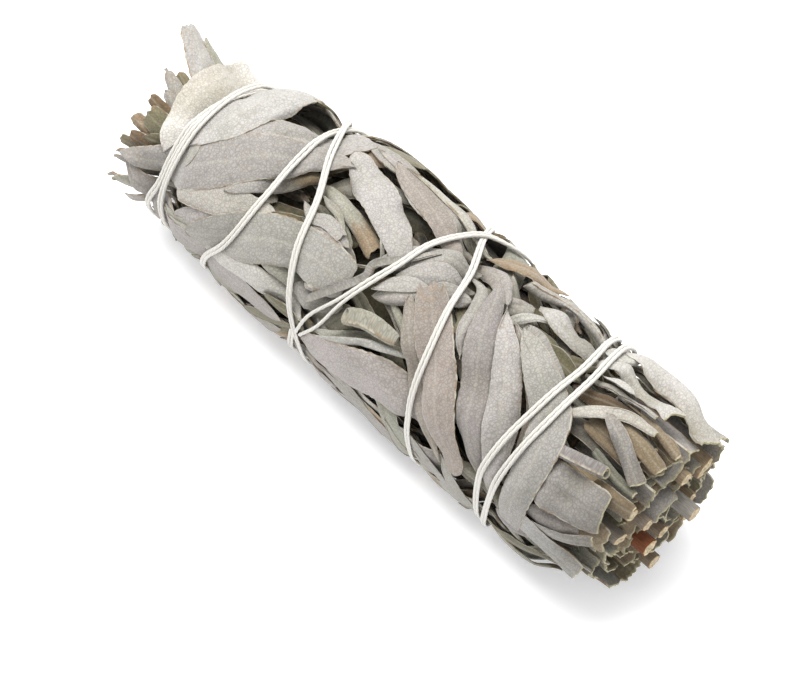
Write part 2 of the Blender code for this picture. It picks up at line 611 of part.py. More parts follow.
def string_solid(x, angle, out, width, height):
    """A flattened six-sided cord along the route, its wide side on the leaves."""
    centre = to_world(x, angle, out)
    along = np.gradient(centre, axis=0)
    along /= np.linalg.norm(along, axis=1)[:, None]
    outward = to_world(x, angle, out + 1.0) - centre
    side = np.cross(along, outward)
    side /= np.linalg.norm(side, axis=1)[:, None]
    outward = np.cross(side, along)
    profile = [(-0.5, 0.0), (-0.28, 0.5), (0.28, 0.5), (0.5, 0.0), (0.28, -0.5), (-0.28, -0.5)]
    ring = np.stack([centre + side * across * width + outward * up * height for across, up in profile], axis=1)
    return ring.reshape(-1, 3), rings_faces(len(x), len(profile))


def knot_solid(out, extra):
    """The knot's lump: an ellipsoid of rings set round the bundle's surface."""
    latitude = np.linspace(-0.44, 0.44, 5) * np.pi
    longitude = np.arange(KNOT_SIDES) * 2.0 * np.pi / KNOT_SIDES
    half_x, half_round, half_out = (half + extra for half in KNOT_HALF)
    x = KNOT_X + half_x * np.sin(latitude)[:, None] * np.ones((1, KNOT_SIDES))
    around = half_round * np.cos(latitude)[:, None] * np.cos(longitude)[None, :]
    outward = half_out * np.cos(latitude)[:, None] * np.sin(longitude)[None, :]
    points = to_world(x, KNOT_ANGLE + np.degrees(around / out), out + outward)
    return points.reshape(-1, 3), rings_faces(len(latitude), KNOT_SIDES)


def stem_ring(spec, x, scale, extra):
    """One ring of a stem at x: an ellipse round its place beside the axis."""
    right, up, _, _, half_wide, half_long, turn = spec
    theta = np.arange(STEM_SIDES) * 2.0 * np.pi / STEM_SIDES
    a = (half_wide * scale + extra) * np.cos(theta)
    b = (half_long * scale + extra) * np.sin(theta)
    swing = math.radians(turn)
    y = right + a * math.cos(swing) - b * math.sin(swing)
    z = up + a * math.sin(swing) + b * math.cos(swing)
    angle = np.degrees(np.arctan2(-y, z))
    return to_world(np.full(STEM_SIDES, float(x)), angle, np.hypot(y, z))


def stem_solid(spec):
    """A stem with its pith sunk in the cut end."""
    start, end = spec[2], spec[3]
    rings = [
        stem_ring(spec, start, 1.0, 0.0),
        stem_ring(spec, end, 1.0, 0.0),
        stem_ring(spec, end, PITH_SHARE, 0.0),
        stem_ring(spec, end - PITH_DEPTH, PITH_SHARE * 0.8, 0.0),
    ]
    return np.concatenate(rings), rings_faces(len(rings), STEM_SIDES)


def stem_hole(spec):
    """The plain hole that a stem stands in."""
    rings = [
        stem_ring(spec, spec[2] - STEM_GAP, 1.0, STEM_GAP + 0.08),
        stem_ring(spec, spec[3] + 8.0, 1.0, STEM_GAP + 0.08),
    ]
    return np.concatenate(rings), rings_faces(2, STEM_SIDES)


def main():
    for thing in list(bpy.data.objects):
        bpy.data.objects.remove(thing)
    draw = np.random.default_rng(SEED)
    grid_x = np.repeat(GRID_X[:, None], len(GRID_ANGLE), axis=1)
    grid = radius_at(grid_x) - CORE_DEPTH
    pinch = pinch_grid()
    core = mesh_object("sage_leaves", *core_solid(grid, pinch))

    inner = [inner_leaf(draw, index) for index in range(INNER_ENDS)]
    blades = [end_leaf(pinch, spec) for spec in TIP_ENDS + BUTT_ENDS + inner]
    blades += [lay_leaf(grid, pinch, back_leaf(draw, index)) for index in range(BACK_LEAVES)]
    blades += [lay_leaf(grid, pinch, leaf) for leaf in LAID_LEAVES]
    pressed = ([(-15, 180), (0, 181), (15, 180)], 12.0, 0.4, 0.4, 0.1)
    blades.append(lay_leaf(grid, pinch, pressed))
    things = [mesh_object(f"blade_{index}", *blade) for index, blade in enumerate(blades)]
    boolean(core, "UNION", things)
    keep_largest(core)
    thin_out(core, FACE_SHARE)

    x, angle, out = string_places(grid, pinch)
    take = np.arange(0, len(x), int(STRING_STEP / FINE_STRING_STEP))
    x, angle, out = x[take], angle[take], out[take]
    string = mesh_object("string", *string_solid(x, angle, out, STRING_WIDTH, STRING_HEIGHT))
    wide = STRING_WIDTH + 2.0 * STRING_GAP
    high = STRING_HEIGHT + 2.0 * STRING_GAP
    boolean(core, "DIFFERENCE", [box_below(20.0)])
    knot_out = float(out[-1])
    string_cutters = [
        mesh_object("string_cutter", *string_solid(x, angle, out, wide, high)),
        mesh_object("knot_cutter", *knot_solid(knot_out, STRING_GAP)),
    ]
    boolean(string, "UNION", [mesh_object("knot", *knot_solid(knot_out, 0.0))])
    keep_largest(string)
    boolean(core, "DIFFERENCE", string_cutters)
    boolean(core, "DIFFERENCE", [mesh_object("hole_cutter", *stem_hole(spec)) for spec in STEMS])
    keep_largest(core)
    part_touching(core)

    give_finish(core, "sage_leaves")
    give_finish(string, "string")
    for number, spec in enumerate(STEMS, start=1):
        give_finish(mesh_object(f"stem_{number:02d}", *stem_solid(spec)), "stem")


main()
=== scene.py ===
# %% [markdown]
# # A tied bundle of dried sage
# The bundle is a roll of dried sage leaves on woody stems, pinched by a thin cotton string laid
# double. Every piece below is a surface worked out with numpy: a leaf is a grid of rows along its
# middle line and columns across it, and it is laid on what was laid before it, as a hand would
# pack a real bundle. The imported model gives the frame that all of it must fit.

# %% The frame
import math

import bpy
import numpy as np
from mathutils import Matrix, Vector


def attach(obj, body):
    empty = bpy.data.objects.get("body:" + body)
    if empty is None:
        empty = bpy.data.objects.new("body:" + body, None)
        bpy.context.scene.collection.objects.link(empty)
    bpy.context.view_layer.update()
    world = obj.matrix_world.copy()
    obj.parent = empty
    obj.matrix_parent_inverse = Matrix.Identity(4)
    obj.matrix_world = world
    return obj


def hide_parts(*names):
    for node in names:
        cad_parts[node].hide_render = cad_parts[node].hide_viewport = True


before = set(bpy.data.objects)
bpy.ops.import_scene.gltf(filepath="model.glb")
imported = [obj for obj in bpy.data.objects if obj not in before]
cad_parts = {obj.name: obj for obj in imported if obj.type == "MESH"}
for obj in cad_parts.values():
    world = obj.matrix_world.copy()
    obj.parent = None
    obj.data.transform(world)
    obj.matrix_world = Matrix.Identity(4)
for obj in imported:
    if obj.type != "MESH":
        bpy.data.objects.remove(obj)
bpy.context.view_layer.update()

print("nodes in the frame:", ", ".join(sorted(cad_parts)))

# %% [markdown]
# ## Places on the bundle
# A leaf is easier to lay on a flat map than in space. So a place is given by x along the bundle's
# axis in millimetres, an angle round the axis in degrees from the top towards the viewer, and a
# distance out from the axis. One function turns such places into the world. The bundle is thicker
# at its cut end, so its axis is tilted a little to let the belly lie flat.

# %% Driving sizes, in millimetres
MM = 0.001
TIP_X, BUTT_X = -52.0, 52.0
TIP_RADIUS, BUTT_RADIUS = 13.6, 16.6
TAPER_POWER = 0.8
BELLY_CUT = 0.9
TILT = math.atan((BUTT_RADIUS - TIP_RADIUS) / (BUTT_X - TIP_X))
AXIS_HEIGHT = 0.5 * (TIP_RADIUS + BUTT_RADIUS) - BELLY_CUT + 0.25
VIEW_ANGLE = 24.0
UPPER_FLANK = -66.0
FLOOR, SIDE, TOP = 0.06, 17.1, 33.9
LEVEL_ZONE, SIDE_ZONE = 1.0, 2.0


def radius_at(x):
    """The bundle's outer radius: it grows from the tip to the butt and rounds off at both ends."""
    share = np.clip((x - TIP_X) / (BUTT_X - TIP_X), 0.0, 1.0)
    body = TIP_RADIUS + (BUTT_RADIUS - TIP_RADIUS) * share ** TAPER_POWER
    tip_end = np.clip((x - (TIP_X - 7.0)) / 12.0, 0.0, 1.0)
    butt_end = np.clip(((BUTT_X + 5.0) - x) / 12.0, 0.0, 1.0)
    tip_round = 0.72 + 0.28 * np.sin(0.5 * np.pi * tip_end)
    butt_round = 0.9 + 0.1 * np.sin(0.5 * np.pi * butt_end)
    return body * tip_round * butt_round


def bump(x, middle, reach):
    """A bell: exp(-((x - middle) / reach) squared)."""
    return np.exp(-((x - middle) / reach) ** 2)


def swell_at(x, angle):
    """The roll isn't quite round: it swells on its two flanks, by a cosine squared of the angle."""
    upper = 2.4 * bump(x, -13.0, 11.0) + 1.2 * bump(x, 8.0, 10.0) + 0.7 * bump(x, 38.0, 8.0)
    upper = upper - 2.6 * bump(x, -47.5, 3.5) - 1.0 * bump(x, -41.0, 4.0)
    lower = 1.1 + 0.3 * bump(x, 0.0, 30.0) + 2.0 * bump(x, -54.0, 9.0)
    lower = lower * np.clip((58.0 - x) / 16.0, 0.0, 1.0)
    to_upper = np.cos(np.radians(angle - UPPER_FLANK))
    return np.where(to_upper > 0.0, upper, lower) * to_upper ** 2


def as_seen(x, angle):
    """Turns a place that was read on the round roll to where the swollen one shows at the same spot.

    Seen from the view angle, a place stands off the axis by radius * sin(angle). A larger radius
    needs a smaller angle for the same distance.
    """
    d = (angle - VIEW_ANGLE + 180.0) % 360.0 - 180.0
    radius = radius_at(x)
    ratio = radius / (radius + swell_at(x, angle))
    edge = np.degrees(np.arcsin(np.minimum(ratio, 1.0)))
    near = np.degrees(np.arcsin(np.clip(ratio * np.sin(np.radians(d)), -1.0, 1.0)))
    far = np.sign(d) * (edge + (np.abs(d) - 90.0) * (180.0 - edge) / 90.0)
    return angle + np.where(np.abs(d) <= 90.0, near, far) - d


def squeezed(value, limit, zone):
    """Leaves values alone up to a zone before the limit, and packs the rest into that zone in order."""
    past = np.maximum(value - (limit - zone), 0.0)
    return np.where(past > 0.0, limit - zone * np.exp(-past / zone), value)


def settled(points):
    """Flattens what would pass the floor, the two sides or the top of the bundle's own space."""
    x, y, z = np.moveaxis(points, -1, 0)
    y = np.sign(y) * squeezed(np.abs(y), SIDE, SIDE_ZONE)
    return np.stack([x, y, squeezed(-squeezed(-z, -FLOOR, LEVEL_ZONE), TOP, LEVEL_ZONE)], axis=-1)


def to_world(x, angle, out):
    """World millimetres of a place: turned round the axis, then tilted and lifted with it."""
    turn = np.radians(angle)
    up = out * np.cos(turn)
    z = AXIS_HEIGHT + x * math.sin(TILT) + up * math.cos(TILT)
    return np.stack([x * math.cos(TILT) - up * math.sin(TILT), -out * np.sin(turn), z], axis=-1)


print("axis height", round(AXIS_HEIGHT, 2), "mm, tilt", round(math.degrees(TILT), 2), "degrees")

# %% [markdown]
# ## Camera
# The camera keeps the angle from which the bundle is seen in the picture: from the cut end's side,
# high up, with the tip at the upper left. It could be aimed with a Track To constraint. Here its
# three directions are worked out beside the bundle's axis and then tilted with it, so nothing is
# left to solve, and a millimetre on the bundle is a known number of pixels.

# %% The camera
VIEW_AZIMUTH, VIEW_ELEVATION = math.radians(45.0), math.radians(58.5)
VIEW_DISTANCE = 450.0
PIXELS_PER_MM = 6.33
IMAGE_WIDTH = 794
AXIS_IN_VIEW = (-2.4, -6.3)


def tilted(vector):
    """A direction beside the bundle's own axis, turned into the world with the axis."""
    x, y, z = vector
    return Vector((x * math.cos(TILT) - z * math.sin(TILT), y, x * math.sin(TILT) + z * math.cos(TILT)))


def make_camera():
    """A camera of focal length distance * scale pixels, converted to the sensor's millimetres."""
    level = math.cos(VIEW_ELEVATION)
    back = tilted((math.sin(VIEW_AZIMUTH) * level, -math.cos(VIEW_AZIMUTH) * level,
                   math.sin(VIEW_ELEVATION)))
    right = tilted((math.cos(VIEW_AZIMUTH), math.sin(VIEW_AZIMUTH), 0.0))
    up = back.cross(right)
    target = Vector((0.0, 0.0, AXIS_HEIGHT)) + right * AXIS_IN_VIEW[0] + up * AXIS_IN_VIEW[1]
    data = bpy.data.cameras.new("camera")
    data.sensor_width = 36.0
    data.lens = VIEW_DISTANCE * PIXELS_PER_MM * data.sensor_width / IMAGE_WIDTH
    data.clip_start, data.clip_end = 0.01, 10.0
    camera = bpy.data.objects.new("camera", data)
    matrix = Matrix((right, up, back)).transposed().to_4x4()
    matrix.translation = (target + back * VIEW_DISTANCE) * MM
    camera.matrix_world = matrix
    bpy.context.scene.collection.objects.link(camera)
    bpy.context.scene.camera = camera


make_camera()
print("camera focal length", round(bpy.context.scene.camera.data.lens, 1), "mm")

# %% [markdown]
# ## Floor and light
# The bundle lies on a lit white sweep. The light is one big soft window from the upper left, a weak
# fill on the other side, and an even white world. A white floor alone comes out grey under these, so
# it also glows a little, which keeps the shadow on it as pale as on a light table.

# %% Floor and light
FLOOR_REACH = 3.0
FLOOR_GLOW = 0.22
WORLD_LIGHT = 0.78
LOOK_AT = Vector((0, 0, 0.015))
WINDOW = ((-0.26, 0.14, 0.75), 0.65, 11.5, (1.0, 0.995, 0.985))
FILL = ((0.55, -0.55, 0.5), 0.6, 1.0, (0.98, 0.99, 1.0))


def area_light(name, place, size, watts, colour):
    """A square soft light at a place in metres, facing the bundle."""
    data = bpy.data.lights.new(name, "AREA")
    data.size = size
    data.energy = watts
    data.color = colour
    light = bpy.data.objects.new(name, data)
    light.location = place
    light.rotation_mode = "QUATERNION"
    light.rotation_quaternion = (Vector(place) - LOOK_AT).to_track_quat("Z", "Y")
    bpy.context.scene.collection.objects.link(light)


def make_stage():
    """A pale floor far wider than the bundle that glows a little, an even white world, two lights."""
    mesh = bpy.data.meshes.new("floor")
    corners = [(-FLOOR_REACH, -FLOOR_REACH, 0), (FLOOR_REACH, -FLOOR_REACH, 0),
               (FLOOR_REACH, FLOOR_REACH, 0), (-FLOOR_REACH, FLOOR_REACH, 0)]
    mesh.from_pydata(corners, [], [(0, 1, 2, 3)])
    floor = bpy.data.objects.new("floor", mesh)
    bpy.context.scene.collection.objects.link(floor)
    material = bpy.data.materials.new("pale_floor")
    material.use_nodes = True
    shader = material.node_tree.nodes["Principled BSDF"]
    shader.inputs["Base Color"].default_value = (0.93, 0.93, 0.94, 1.0)
    shader.inputs["Roughness"].default_value = 0.75
    shader.inputs["Emission Color"].default_value = (0.97, 0.97, 1.0, 1.0)
    shader.inputs["Emission Strength"].default_value = FLOOR_GLOW
    mesh.materials.append(material)
    world = bpy.data.worlds.new("studio")
    world.use_nodes = True
    background = world.node_tree.nodes["Background"]
    background.inputs["Color"].default_value = (1.0, 1.0, 1.0, 1.0)
    background.inputs["Strength"].default_value = WORLD_LIGHT
    bpy.context.scene.world = world
    area_light("window", *WINDOW)
    area_light("fill", *FILL)
    bpy.context.scene.view_settings.view_transform = "Standard"


make_stage()
print("lights:", ", ".join(sorted(light.name for light in bpy.data.lights)))

# %% [markdown]
# ## The height map
# In a real bundle each leaf rests on the leaves before it. Blender could settle them with rigid
# bodies or cloth, but hundreds of thin leaves would take hours and slide about. So a map holds how
# far out the bundle reaches at each x and angle: a new leaf reads it, rests on it and lifts it.

# %% The height map
GRID_STEP = 0.5
GRID_TURN = 2.0
GRID_X = np.arange(-64.0, 62.0, GRID_STEP)
GRID_ANGLE = np.arange(0.0, 360.0, GRID_TURN)

def read_grid(grid, x, angle):
    """The grid's value at any place: the weighted average of its four nearest points."""
    across = np.clip((x - GRID_X[0]) / GRID_STEP, 0.0, len(GRID_X) - 1.001)
    around = (angle % 360.0) / GRID_TURN
    i = across.astype(int)
    j = around.astype(int) % len(GRID_ANGLE)
    j_next = (j + 1) % len(GRID_ANGLE)
    s = across - i
    t = around - np.floor(around)
    low = grid[i, j] * (1.0 - t) + grid[i, j_next] * t
    high = grid[i + 1, j] * (1.0 - t) + grid[i + 1, j_next] * t
    return low * (1.0 - s) + high * s


def finer(values):
    """The same grid with a point added halfway between each two, along both directions."""
    for axis in (0, 1):
        values = np.moveaxis(values, axis, 0)
        both = np.empty((2 * len(values) - 1,) + values.shape[1:])
        both[::2] = values
        both[1::2] = 0.5 * (values[:-1] + values[1:])
        values = np.moveaxis(both, 0, axis)
    return values


def raise_grid(grid, x, angle, out):
    """Lifts the map to what was laid on it, at twice the density of the leaf's own grid."""
    x, angle, out = finer(x), finer(angle), finer(out)
    i = np.clip(np.round((x - GRID_X[0]) / GRID_STEP).astype(int), 0, len(GRID_X) - 1)
    j = np.round((angle % 360.0) / GRID_TURN).astype(int) % len(GRID_ANGLE)
    np.maximum.at(grid, (i.ravel(), j.ravel()), out.ravel())


RADIUS = radius_at(np.repeat(GRID_X[:, None], len(GRID_ANGLE), axis=1))
print("height map:", RADIUS.shape[0], "places along by", RADIUS.shape[1], "round")

# %% [markdown]
# ## The string's route
# The string is one line that turns round the bundle eight times and always the same way. It is read
# as a list of places on the map, and a smooth curve runs through them. The route comes before the
# leaves, because they are drawn in under it: the pinch map says by how much, in a bell shape across.

# %% The string's route and its pinch
STRING_PINCH = 1.3
TIP_PINCH = 2.1
TIP_PINCH_TO = -39.0
PINCH_WIDTH = 2.6

# x and angle, always turning the same way: from the knot at the lower edge to the tip and twice
# round it, down to the butt and twice round it, and back to the knot
STRING_ROUTE = [
    (-10.5, 113), (-15, 170), (-22, 240), (-27, 306),
    (-25.5, 358), (-25, 392), (-27, 433), (-30.5, 472),
    (-34, 530), (-39.5, 600), (-43.4, 660),
    (-43.9, 700), (-43.7, 721), (-43.4, 750), (-43.3, 774), (-43.8, 803), (-44.8, 832),
    (-44.4, 900), (-43.2, 970), (-42.7, 1026),
    (-42.5, 1078), (-42.2, 1097), (-42.0, 1121), (-42.0, 1156), (-42.0, 1192),
    (-40.5, 1230), (-35, 1300), (-27, 1386),
    (-22.5, 1422), (-17.8, 1451), (-15, 1482), (-12.8, 1505), (-10, 1546),
    (-6.5, 1610), (-1.5, 1680), (4.2, 1738),
    (9, 1787), (11, 1811), (13, 1836), (14, 1857), (15, 1882), (15.2, 1908),
    (18.5, 1960), (26, 2040), (30.2, 2100),
    (32.8, 2152), (32.2, 2181), (31, 2207), (30.3, 2231), (30, 2257),
    (31.0, 2330), (32.2, 2400), (33.0, 2458),
    (35, 2513), (35, 2543), (34, 2569), (33, 2598), (32.4, 2630),
    (30, 2680), (20, 2760), (9, 2800), (4.5, 2818),
    (2.6, 2850), (1, 2870), (0, 2890), (-2, 2910), (-5, 2937), (-9.4, 2990),
]


def route_samples(step):
    """The route read every few degrees, by cubic Hermite pieces through its points."""
    route = np.array(STRING_ROUTE, float)
    route[:, 1] = as_seen(route[:, 0], route[:, 1])
    angle = np.arange(route[0, 1], route[-1, 1] + 0.001, step)
    slope = np.gradient(route[:, 0], route[:, 1])
    i = np.clip(np.searchsorted(route[:, 1], angle, side="right") - 1, 0, len(route) - 2)
    span = route[i + 1, 1] - route[i, 1]
    t = (angle - route[i, 1]) / span
    from_first = (2 * t ** 3 - 3 * t ** 2 + 1) * route[i, 0] + (t ** 3 - 2 * t ** 2 + t) * span * slope[i]
    from_next = (3 * t ** 2 - 2 * t ** 3) * route[i + 1, 0] + (t ** 3 - t ** 2) * span * slope[i + 1]
    return from_first + from_next, angle


def pinch_grid():
    """How far the surface is drawn in: depth * exp(-(distance / width) squared) from the string."""
    pinch = np.zeros((len(GRID_ANGLE), len(GRID_X)))
    route_x, route_angle = route_samples(GRID_TURN)
    place = np.round((route_angle % 360.0) / GRID_TURN).astype(int) % len(GRID_ANGLE)
    depth = np.where(route_x < TIP_PINCH_TO, TIP_PINCH, STRING_PINCH)
    fall = depth[:, None] * np.exp(-((GRID_X - route_x[:, None]) / PINCH_WIDTH) ** 2)
    np.maximum.at(pinch, place, fall)
    return pinch.T.copy()


PINCH = pinch_grid()
print("string route:", round((STRING_ROUTE[-1][1] - STRING_ROUTE[0][1]) / 360.0, 1), "turns")

# %% [markdown]
# ## A leaf's outline
# A dried sage leaf is a long strap, widest near its middle, with blunt or torn ends and a margin
# that is never quite even. It could be cut from a picture of a leaf. A middle line through a few
# points, with a width that follows two sines, gives each leaf its own outline from a few numbers.

# %% The leaf's middle line and width
ROW_SPACING = 0.42


def smooth_points(points, count):
    """Points at even spacing along a Catmull-Rom curve through the given ones."""
    points = np.asarray(points, float)
    if len(points) == 2:
        share = np.linspace(0.0, 1.0, count)[:, None]
        return points[0] * (1.0 - share) + points[1] * share
    padded = np.vstack([2.0 * points[0] - points[1], points, 2.0 * points[-1] - points[-2]])
    place = np.linspace(0.0, len(points) - 1.0, 12 * len(points))
    first = np.minimum(place.astype(int), len(points) - 2)
    t = (place - first)[:, None]
    p0, p1, p2, p3 = (padded[first + k] for k in range(4))
    curve = 0.5 * (2.0 * p1 + (p2 - p0) * t + (2.0 * p0 - 5.0 * p1 + 4.0 * p2 - p3) * t ** 2
                   + (3.0 * p1 - p0 - 3.0 * p2 + p3) * t ** 3)
    length = np.concatenate([[0.0], np.cumsum(np.linalg.norm(np.diff(curve, axis=0), axis=1))])
    even = np.linspace(0.0, length[-1], count)
    return np.stack([np.interp(even, length, curve[:, k]) for k in range(curve.shape[1])], axis=1)


def leaf_width(share, start, end):
    """Width along the leaf, as a share: a rising and a falling sine, rounded off at both tips."""
    rise = np.sin(0.5 * np.pi * np.clip(share / 0.45, 0.0, 1.0))
    fall = np.sin(0.5 * np.pi * np.clip((1.0 - share) / 0.45, 0.0, 1.0))
    return (start + (1.0 - start) * rise) * (end + (1.0 - end) * fall)


def rounded(share, start, end):
    """Closes each narrow tip over its last tenth by a quarter circle; a cut end stays square."""
    first = np.clip(share / 0.1, 0.0, 1.0)
    last = np.clip((1.0 - share) / 0.1, 0.0, 1.0)
    open_first = 0.85 if start > 0.65 else 0.10
    open_last = 0.85 if end > 0.65 else 0.10
    closing = open_first + (1.0 - open_first) * np.sqrt(1.0 - (1.0 - first) ** 2)
    return closing * (open_last + (1.0 - open_last) * np.sqrt(1.0 - (1.0 - last) ** 2))


def waves(draw, where, shortest, longest, count=4):
    """Smooth noise between -1 and 1: the mean of a few sines of random length and phase."""
    total = np.zeros_like(where)
    for _ in range(count):
        total += np.sin(2.0 * np.pi * where / draw.uniform(shortest, longest) + draw.uniform(0.0, 6.28))
    return total / count


print("half way to its widest place a leaf has", round(float(leaf_width(np.array(0.225), 0.3, 0.3)), 2),
      "of its width")

# %% [markdown]
# ## A leaf's section
# Cut across, a leaf is a shallow arch whose edges curl under, and some leaves are folded over or
# rolled into a tube. All of these are one curve: walking across the leaf, the direction turns by a
# set amount, and the curve is the running sum of the steps. A bent plane would stretch, and this
# keeps the leaf's own width however far it curls.

# %% The leaf's section
LEAF_COLUMNS = 17


def section(half, crown, curl, fold, roll, columns):
    """Across and height of the leaf's section, by rows: running sums of cos and sin of the turning.

    The turning grows evenly with the crown, faster over the outer quarter where the edge curls
    under, and by almost half a turn about the middle where the leaf is folded. A roll is a spiral
    of so many turns whose radius shrinks evenly inwards.
    """
    v = np.linspace(-1.0, 1.0, columns)[None, :]
    half = half[:, None]
    if roll:
        inward = 0.5 * (v + 1.0)
        sweep = np.pi * (0.35 + 2.0 * roll * inward)
        radius = half * (1.0 - 0.45 * inward)
        return radius * np.cos(sweep), radius * np.sin(sweep) + half
    outer = np.clip((np.abs(v) - 0.7) / 0.3, 0.0, 1.0)
    turning = 2.0 * crown / half * v + np.sign(v) * curl * outer ** 1.5
    if fold:
        turning = turning * 0.5 + fold * (0.5 + 0.5 * np.tanh(v / 0.07))
    step = 2.0 * half / (columns - 1)
    across = np.cumsum(np.cos(turning) * step, axis=1)
    height = -np.cumsum(np.sin(turning) * step, axis=1)
    middle = columns // 2
    across = across - across[:, middle:middle + 1]
    height = height - height[:, middle:middle + 1]
    if fold:
        across = across + 0.5 * half
    return across, height + crown


arch = section(np.array([4.0]), 0.5, 0.7, 0.0, 0.0, LEAF_COLUMNS)[0]
print("a leaf 8 mm wide spans", round(float(np.ptp(arch)), 1), "mm once its edges have curled")

# %% [markdown]
# ## A stiff ribbon
# A dry leaf doesn't drape like cloth. It rests as a stiff ribbon: straight across, slowly bending
# along its length, and nowhere lower than what lies under it. Two numbers for each row say so, its
# height and its side slope, and both are smoothed along the leaf.

# %% The ribbon
STRIP_COLUMNS = 13
TILT_LIMIT = 0.8


def smoothed(values, reach):
    """A running average with bell-shaped weights, their reach given in rows."""
    count = int(math.ceil(2.5 * reach))
    weights = np.exp(-0.5 * (np.arange(-count, count + 1) / reach) ** 2)
    return np.convolve(np.pad(values, count, mode="edge"), weights / weights.sum(), mode="valid")


def highest_near(values, count):
    """The largest value within so many rows to either side."""
    padded = np.pad(values, count, mode="edge")
    return np.lib.stride_tricks.sliding_window_view(padded, 2 * count + 1).max(axis=1)


def ribbon(strip):
    """A stiff ribbon over a strip of heights: its middle height and its side slope, row by row.

    Per row it is a straight line that no height passes. The two numbers are smoothed along the leaf,
    and where the smoothed line would sink into something, what is missing is smoothed and added.
    """
    v = np.linspace(-1.0, 1.0, strip.shape[1])
    slope = 0.5 * (strip[:, -4:].max(axis=1) - strip[:, :4].max(axis=1))
    slope = smoothed(np.clip(slope, -TILT_LIMIT, TILT_LIMIT), 4.0)
    needed = (strip - slope[:, None] * v).max(axis=1)
    middle = smoothed(highest_near(needed, 2), 4.0)
    lack = np.maximum(needed - middle, 0.0)
    return middle + smoothed(highest_near(lack, 3), 2.0), slope


print("a ribbon leans by at most", TILT_LIMIT, "mm to each side")

# %% [markdown]
# ## A sheet with thickness
# A leaf's upper face alone would look like paper with no edge. A Solidify modifier could thicken
# it, but each leaf has its own thickness, thinner towards its ends. So each grid becomes a closed
# shell: the lower face is the upper one moved inwards along its own normals, and a rim of faces
# joins the two.

# %% Shells


def grid_normals(points):
    """Unit normals of a grid: the cross product of its two directions."""
    normal = np.cross(np.gradient(points, axis=0), np.gradient(points, axis=1))
    return normal / np.maximum(np.linalg.norm(normal, axis=2, keepdims=True), 1e-9)


def shell_faces(rows, columns):
    """Quads of a closed sheet: upper face, lower face turned over, and the rim between them."""
    index = np.arange(rows * columns).reshape(rows, columns)
    a, b, c, d = index[:-1, :-1], index[:-1, 1:], index[1:, 1:], index[1:, :-1]
    upper = np.stack([a, b, c, d], axis=-1).reshape(-1, 4)
    lower = upper[:, ::-1] + rows * columns
    border = np.concatenate([index[0, :], index[1:, -1], index[-1, -2::-1], index[-2:0:-1, 0]])
    ahead = np.roll(border, -1)
    rim = np.stack([ahead, border, border + rows * columns, ahead + rows * columns], axis=-1)
    return np.concatenate([upper, lower, rim])


def shell(points, outward, thickness, facts):
    """Vertices, faces and facts of one sheet whose upper face looks outward."""
    normal = grid_normals(points)
    if np.sum(normal * outward) < 0.0:
        points = points[:, ::-1]
        normal = -normal[:, ::-1]
        facts = {name: value[:, ::-1] for name, value in facts.items()}
    rows, columns = points.shape[:2]
    lower = points - normal * thickness
    vertices = settled(np.concatenate([points.reshape(-1, 3), lower.reshape(-1, 3)]))
    doubled = {}
    for name, value in facts.items():
        flat = value.reshape(rows * columns, -1)
        doubled[name] = np.concatenate([flat, flat])
    return vertices, shell_faces(rows, columns)[:, ::-1], doubled


print("a sheet of 10 rows and 5 columns has", len(shell_faces(10, 5)), "faces, rim and lower face included")

# %% [markdown]
# ## From shells to a piece
# Hundreds of single objects would be slow to handle, so the leaves of one layer are one mesh. The
# arrays go into it whole, with what the material reads at each point: the tint, the distance from
# the edge, and a map in millimetres that carries the veins.

# %% One mesh from many shells
SHARP_ANGLE = math.radians(50.0)


def mesh_piece(name, shells, material):
    """One smooth mesh from many shells, in metres, with its attributes and its vein map."""
    starts = np.cumsum([0] + [len(part[0]) for part in shells[:-1]])
    vertices = np.concatenate([part[0] for part in shells]) * MM
    faces = np.concatenate([part[1] + start for part, start in zip(shells, starts)])
    mesh = bpy.data.meshes.new(name)
    mesh.vertices.add(len(vertices))
    mesh.vertices.foreach_set("co", vertices.astype(np.float32).ravel())
    mesh.loops.add(faces.size)
    mesh.loops.foreach_set("vertex_index", faces.astype(np.int32).ravel())
    mesh.polygons.add(len(faces))
    mesh.polygons.foreach_set("loop_start", np.arange(0, faces.size, 4, dtype=np.int32))
    mesh.update(calc_edges=True)
    mesh.shade_smooth()
    mesh.set_sharp_from_angle(angle=SHARP_ANGLE)
    for key in shells[0][2]:
        values = np.concatenate([part[2][key] for part in shells])
        if key == "map":
            layer = mesh.uv_layers.new(name="map")
            layer.uv.foreach_set("vector", values[faces.ravel()].astype(np.float32).ravel())
        elif key == "tint":
            layer = mesh.attributes.new("tint", "FLOAT_COLOR", "POINT")
            colour = np.concatenate([values, np.ones((len(values), 1))], axis=1)
            layer.data.foreach_set("color", colour.astype(np.float32).ravel())
        else:
            layer = mesh.attributes.new(key, "FLOAT", "POINT")
            layer.data.foreach_set("value", values.astype(np.float32).ravel())
    mesh.materials.append(material)
    piece = bpy.data.objects.new(name, mesh)
    bpy.context.scene.collection.objects.link(piece)
    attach(piece, "root")
    print(name, len(shells), "sheets,", 2 * len(faces), "triangles")
    return piece


print("edges sharper than", round(math.degrees(SHARP_ANGLE)), "degrees stay crisp")

# %% [markdown]
# ## Leaf colours
# White sage dries to grey mauve, grey green and cream, each leaf its own, with tan and brown where it
# is old. One material with a noise would cloud the whole bundle alike. A tint kept on each leaf's
# own points lets one material serve all of them.

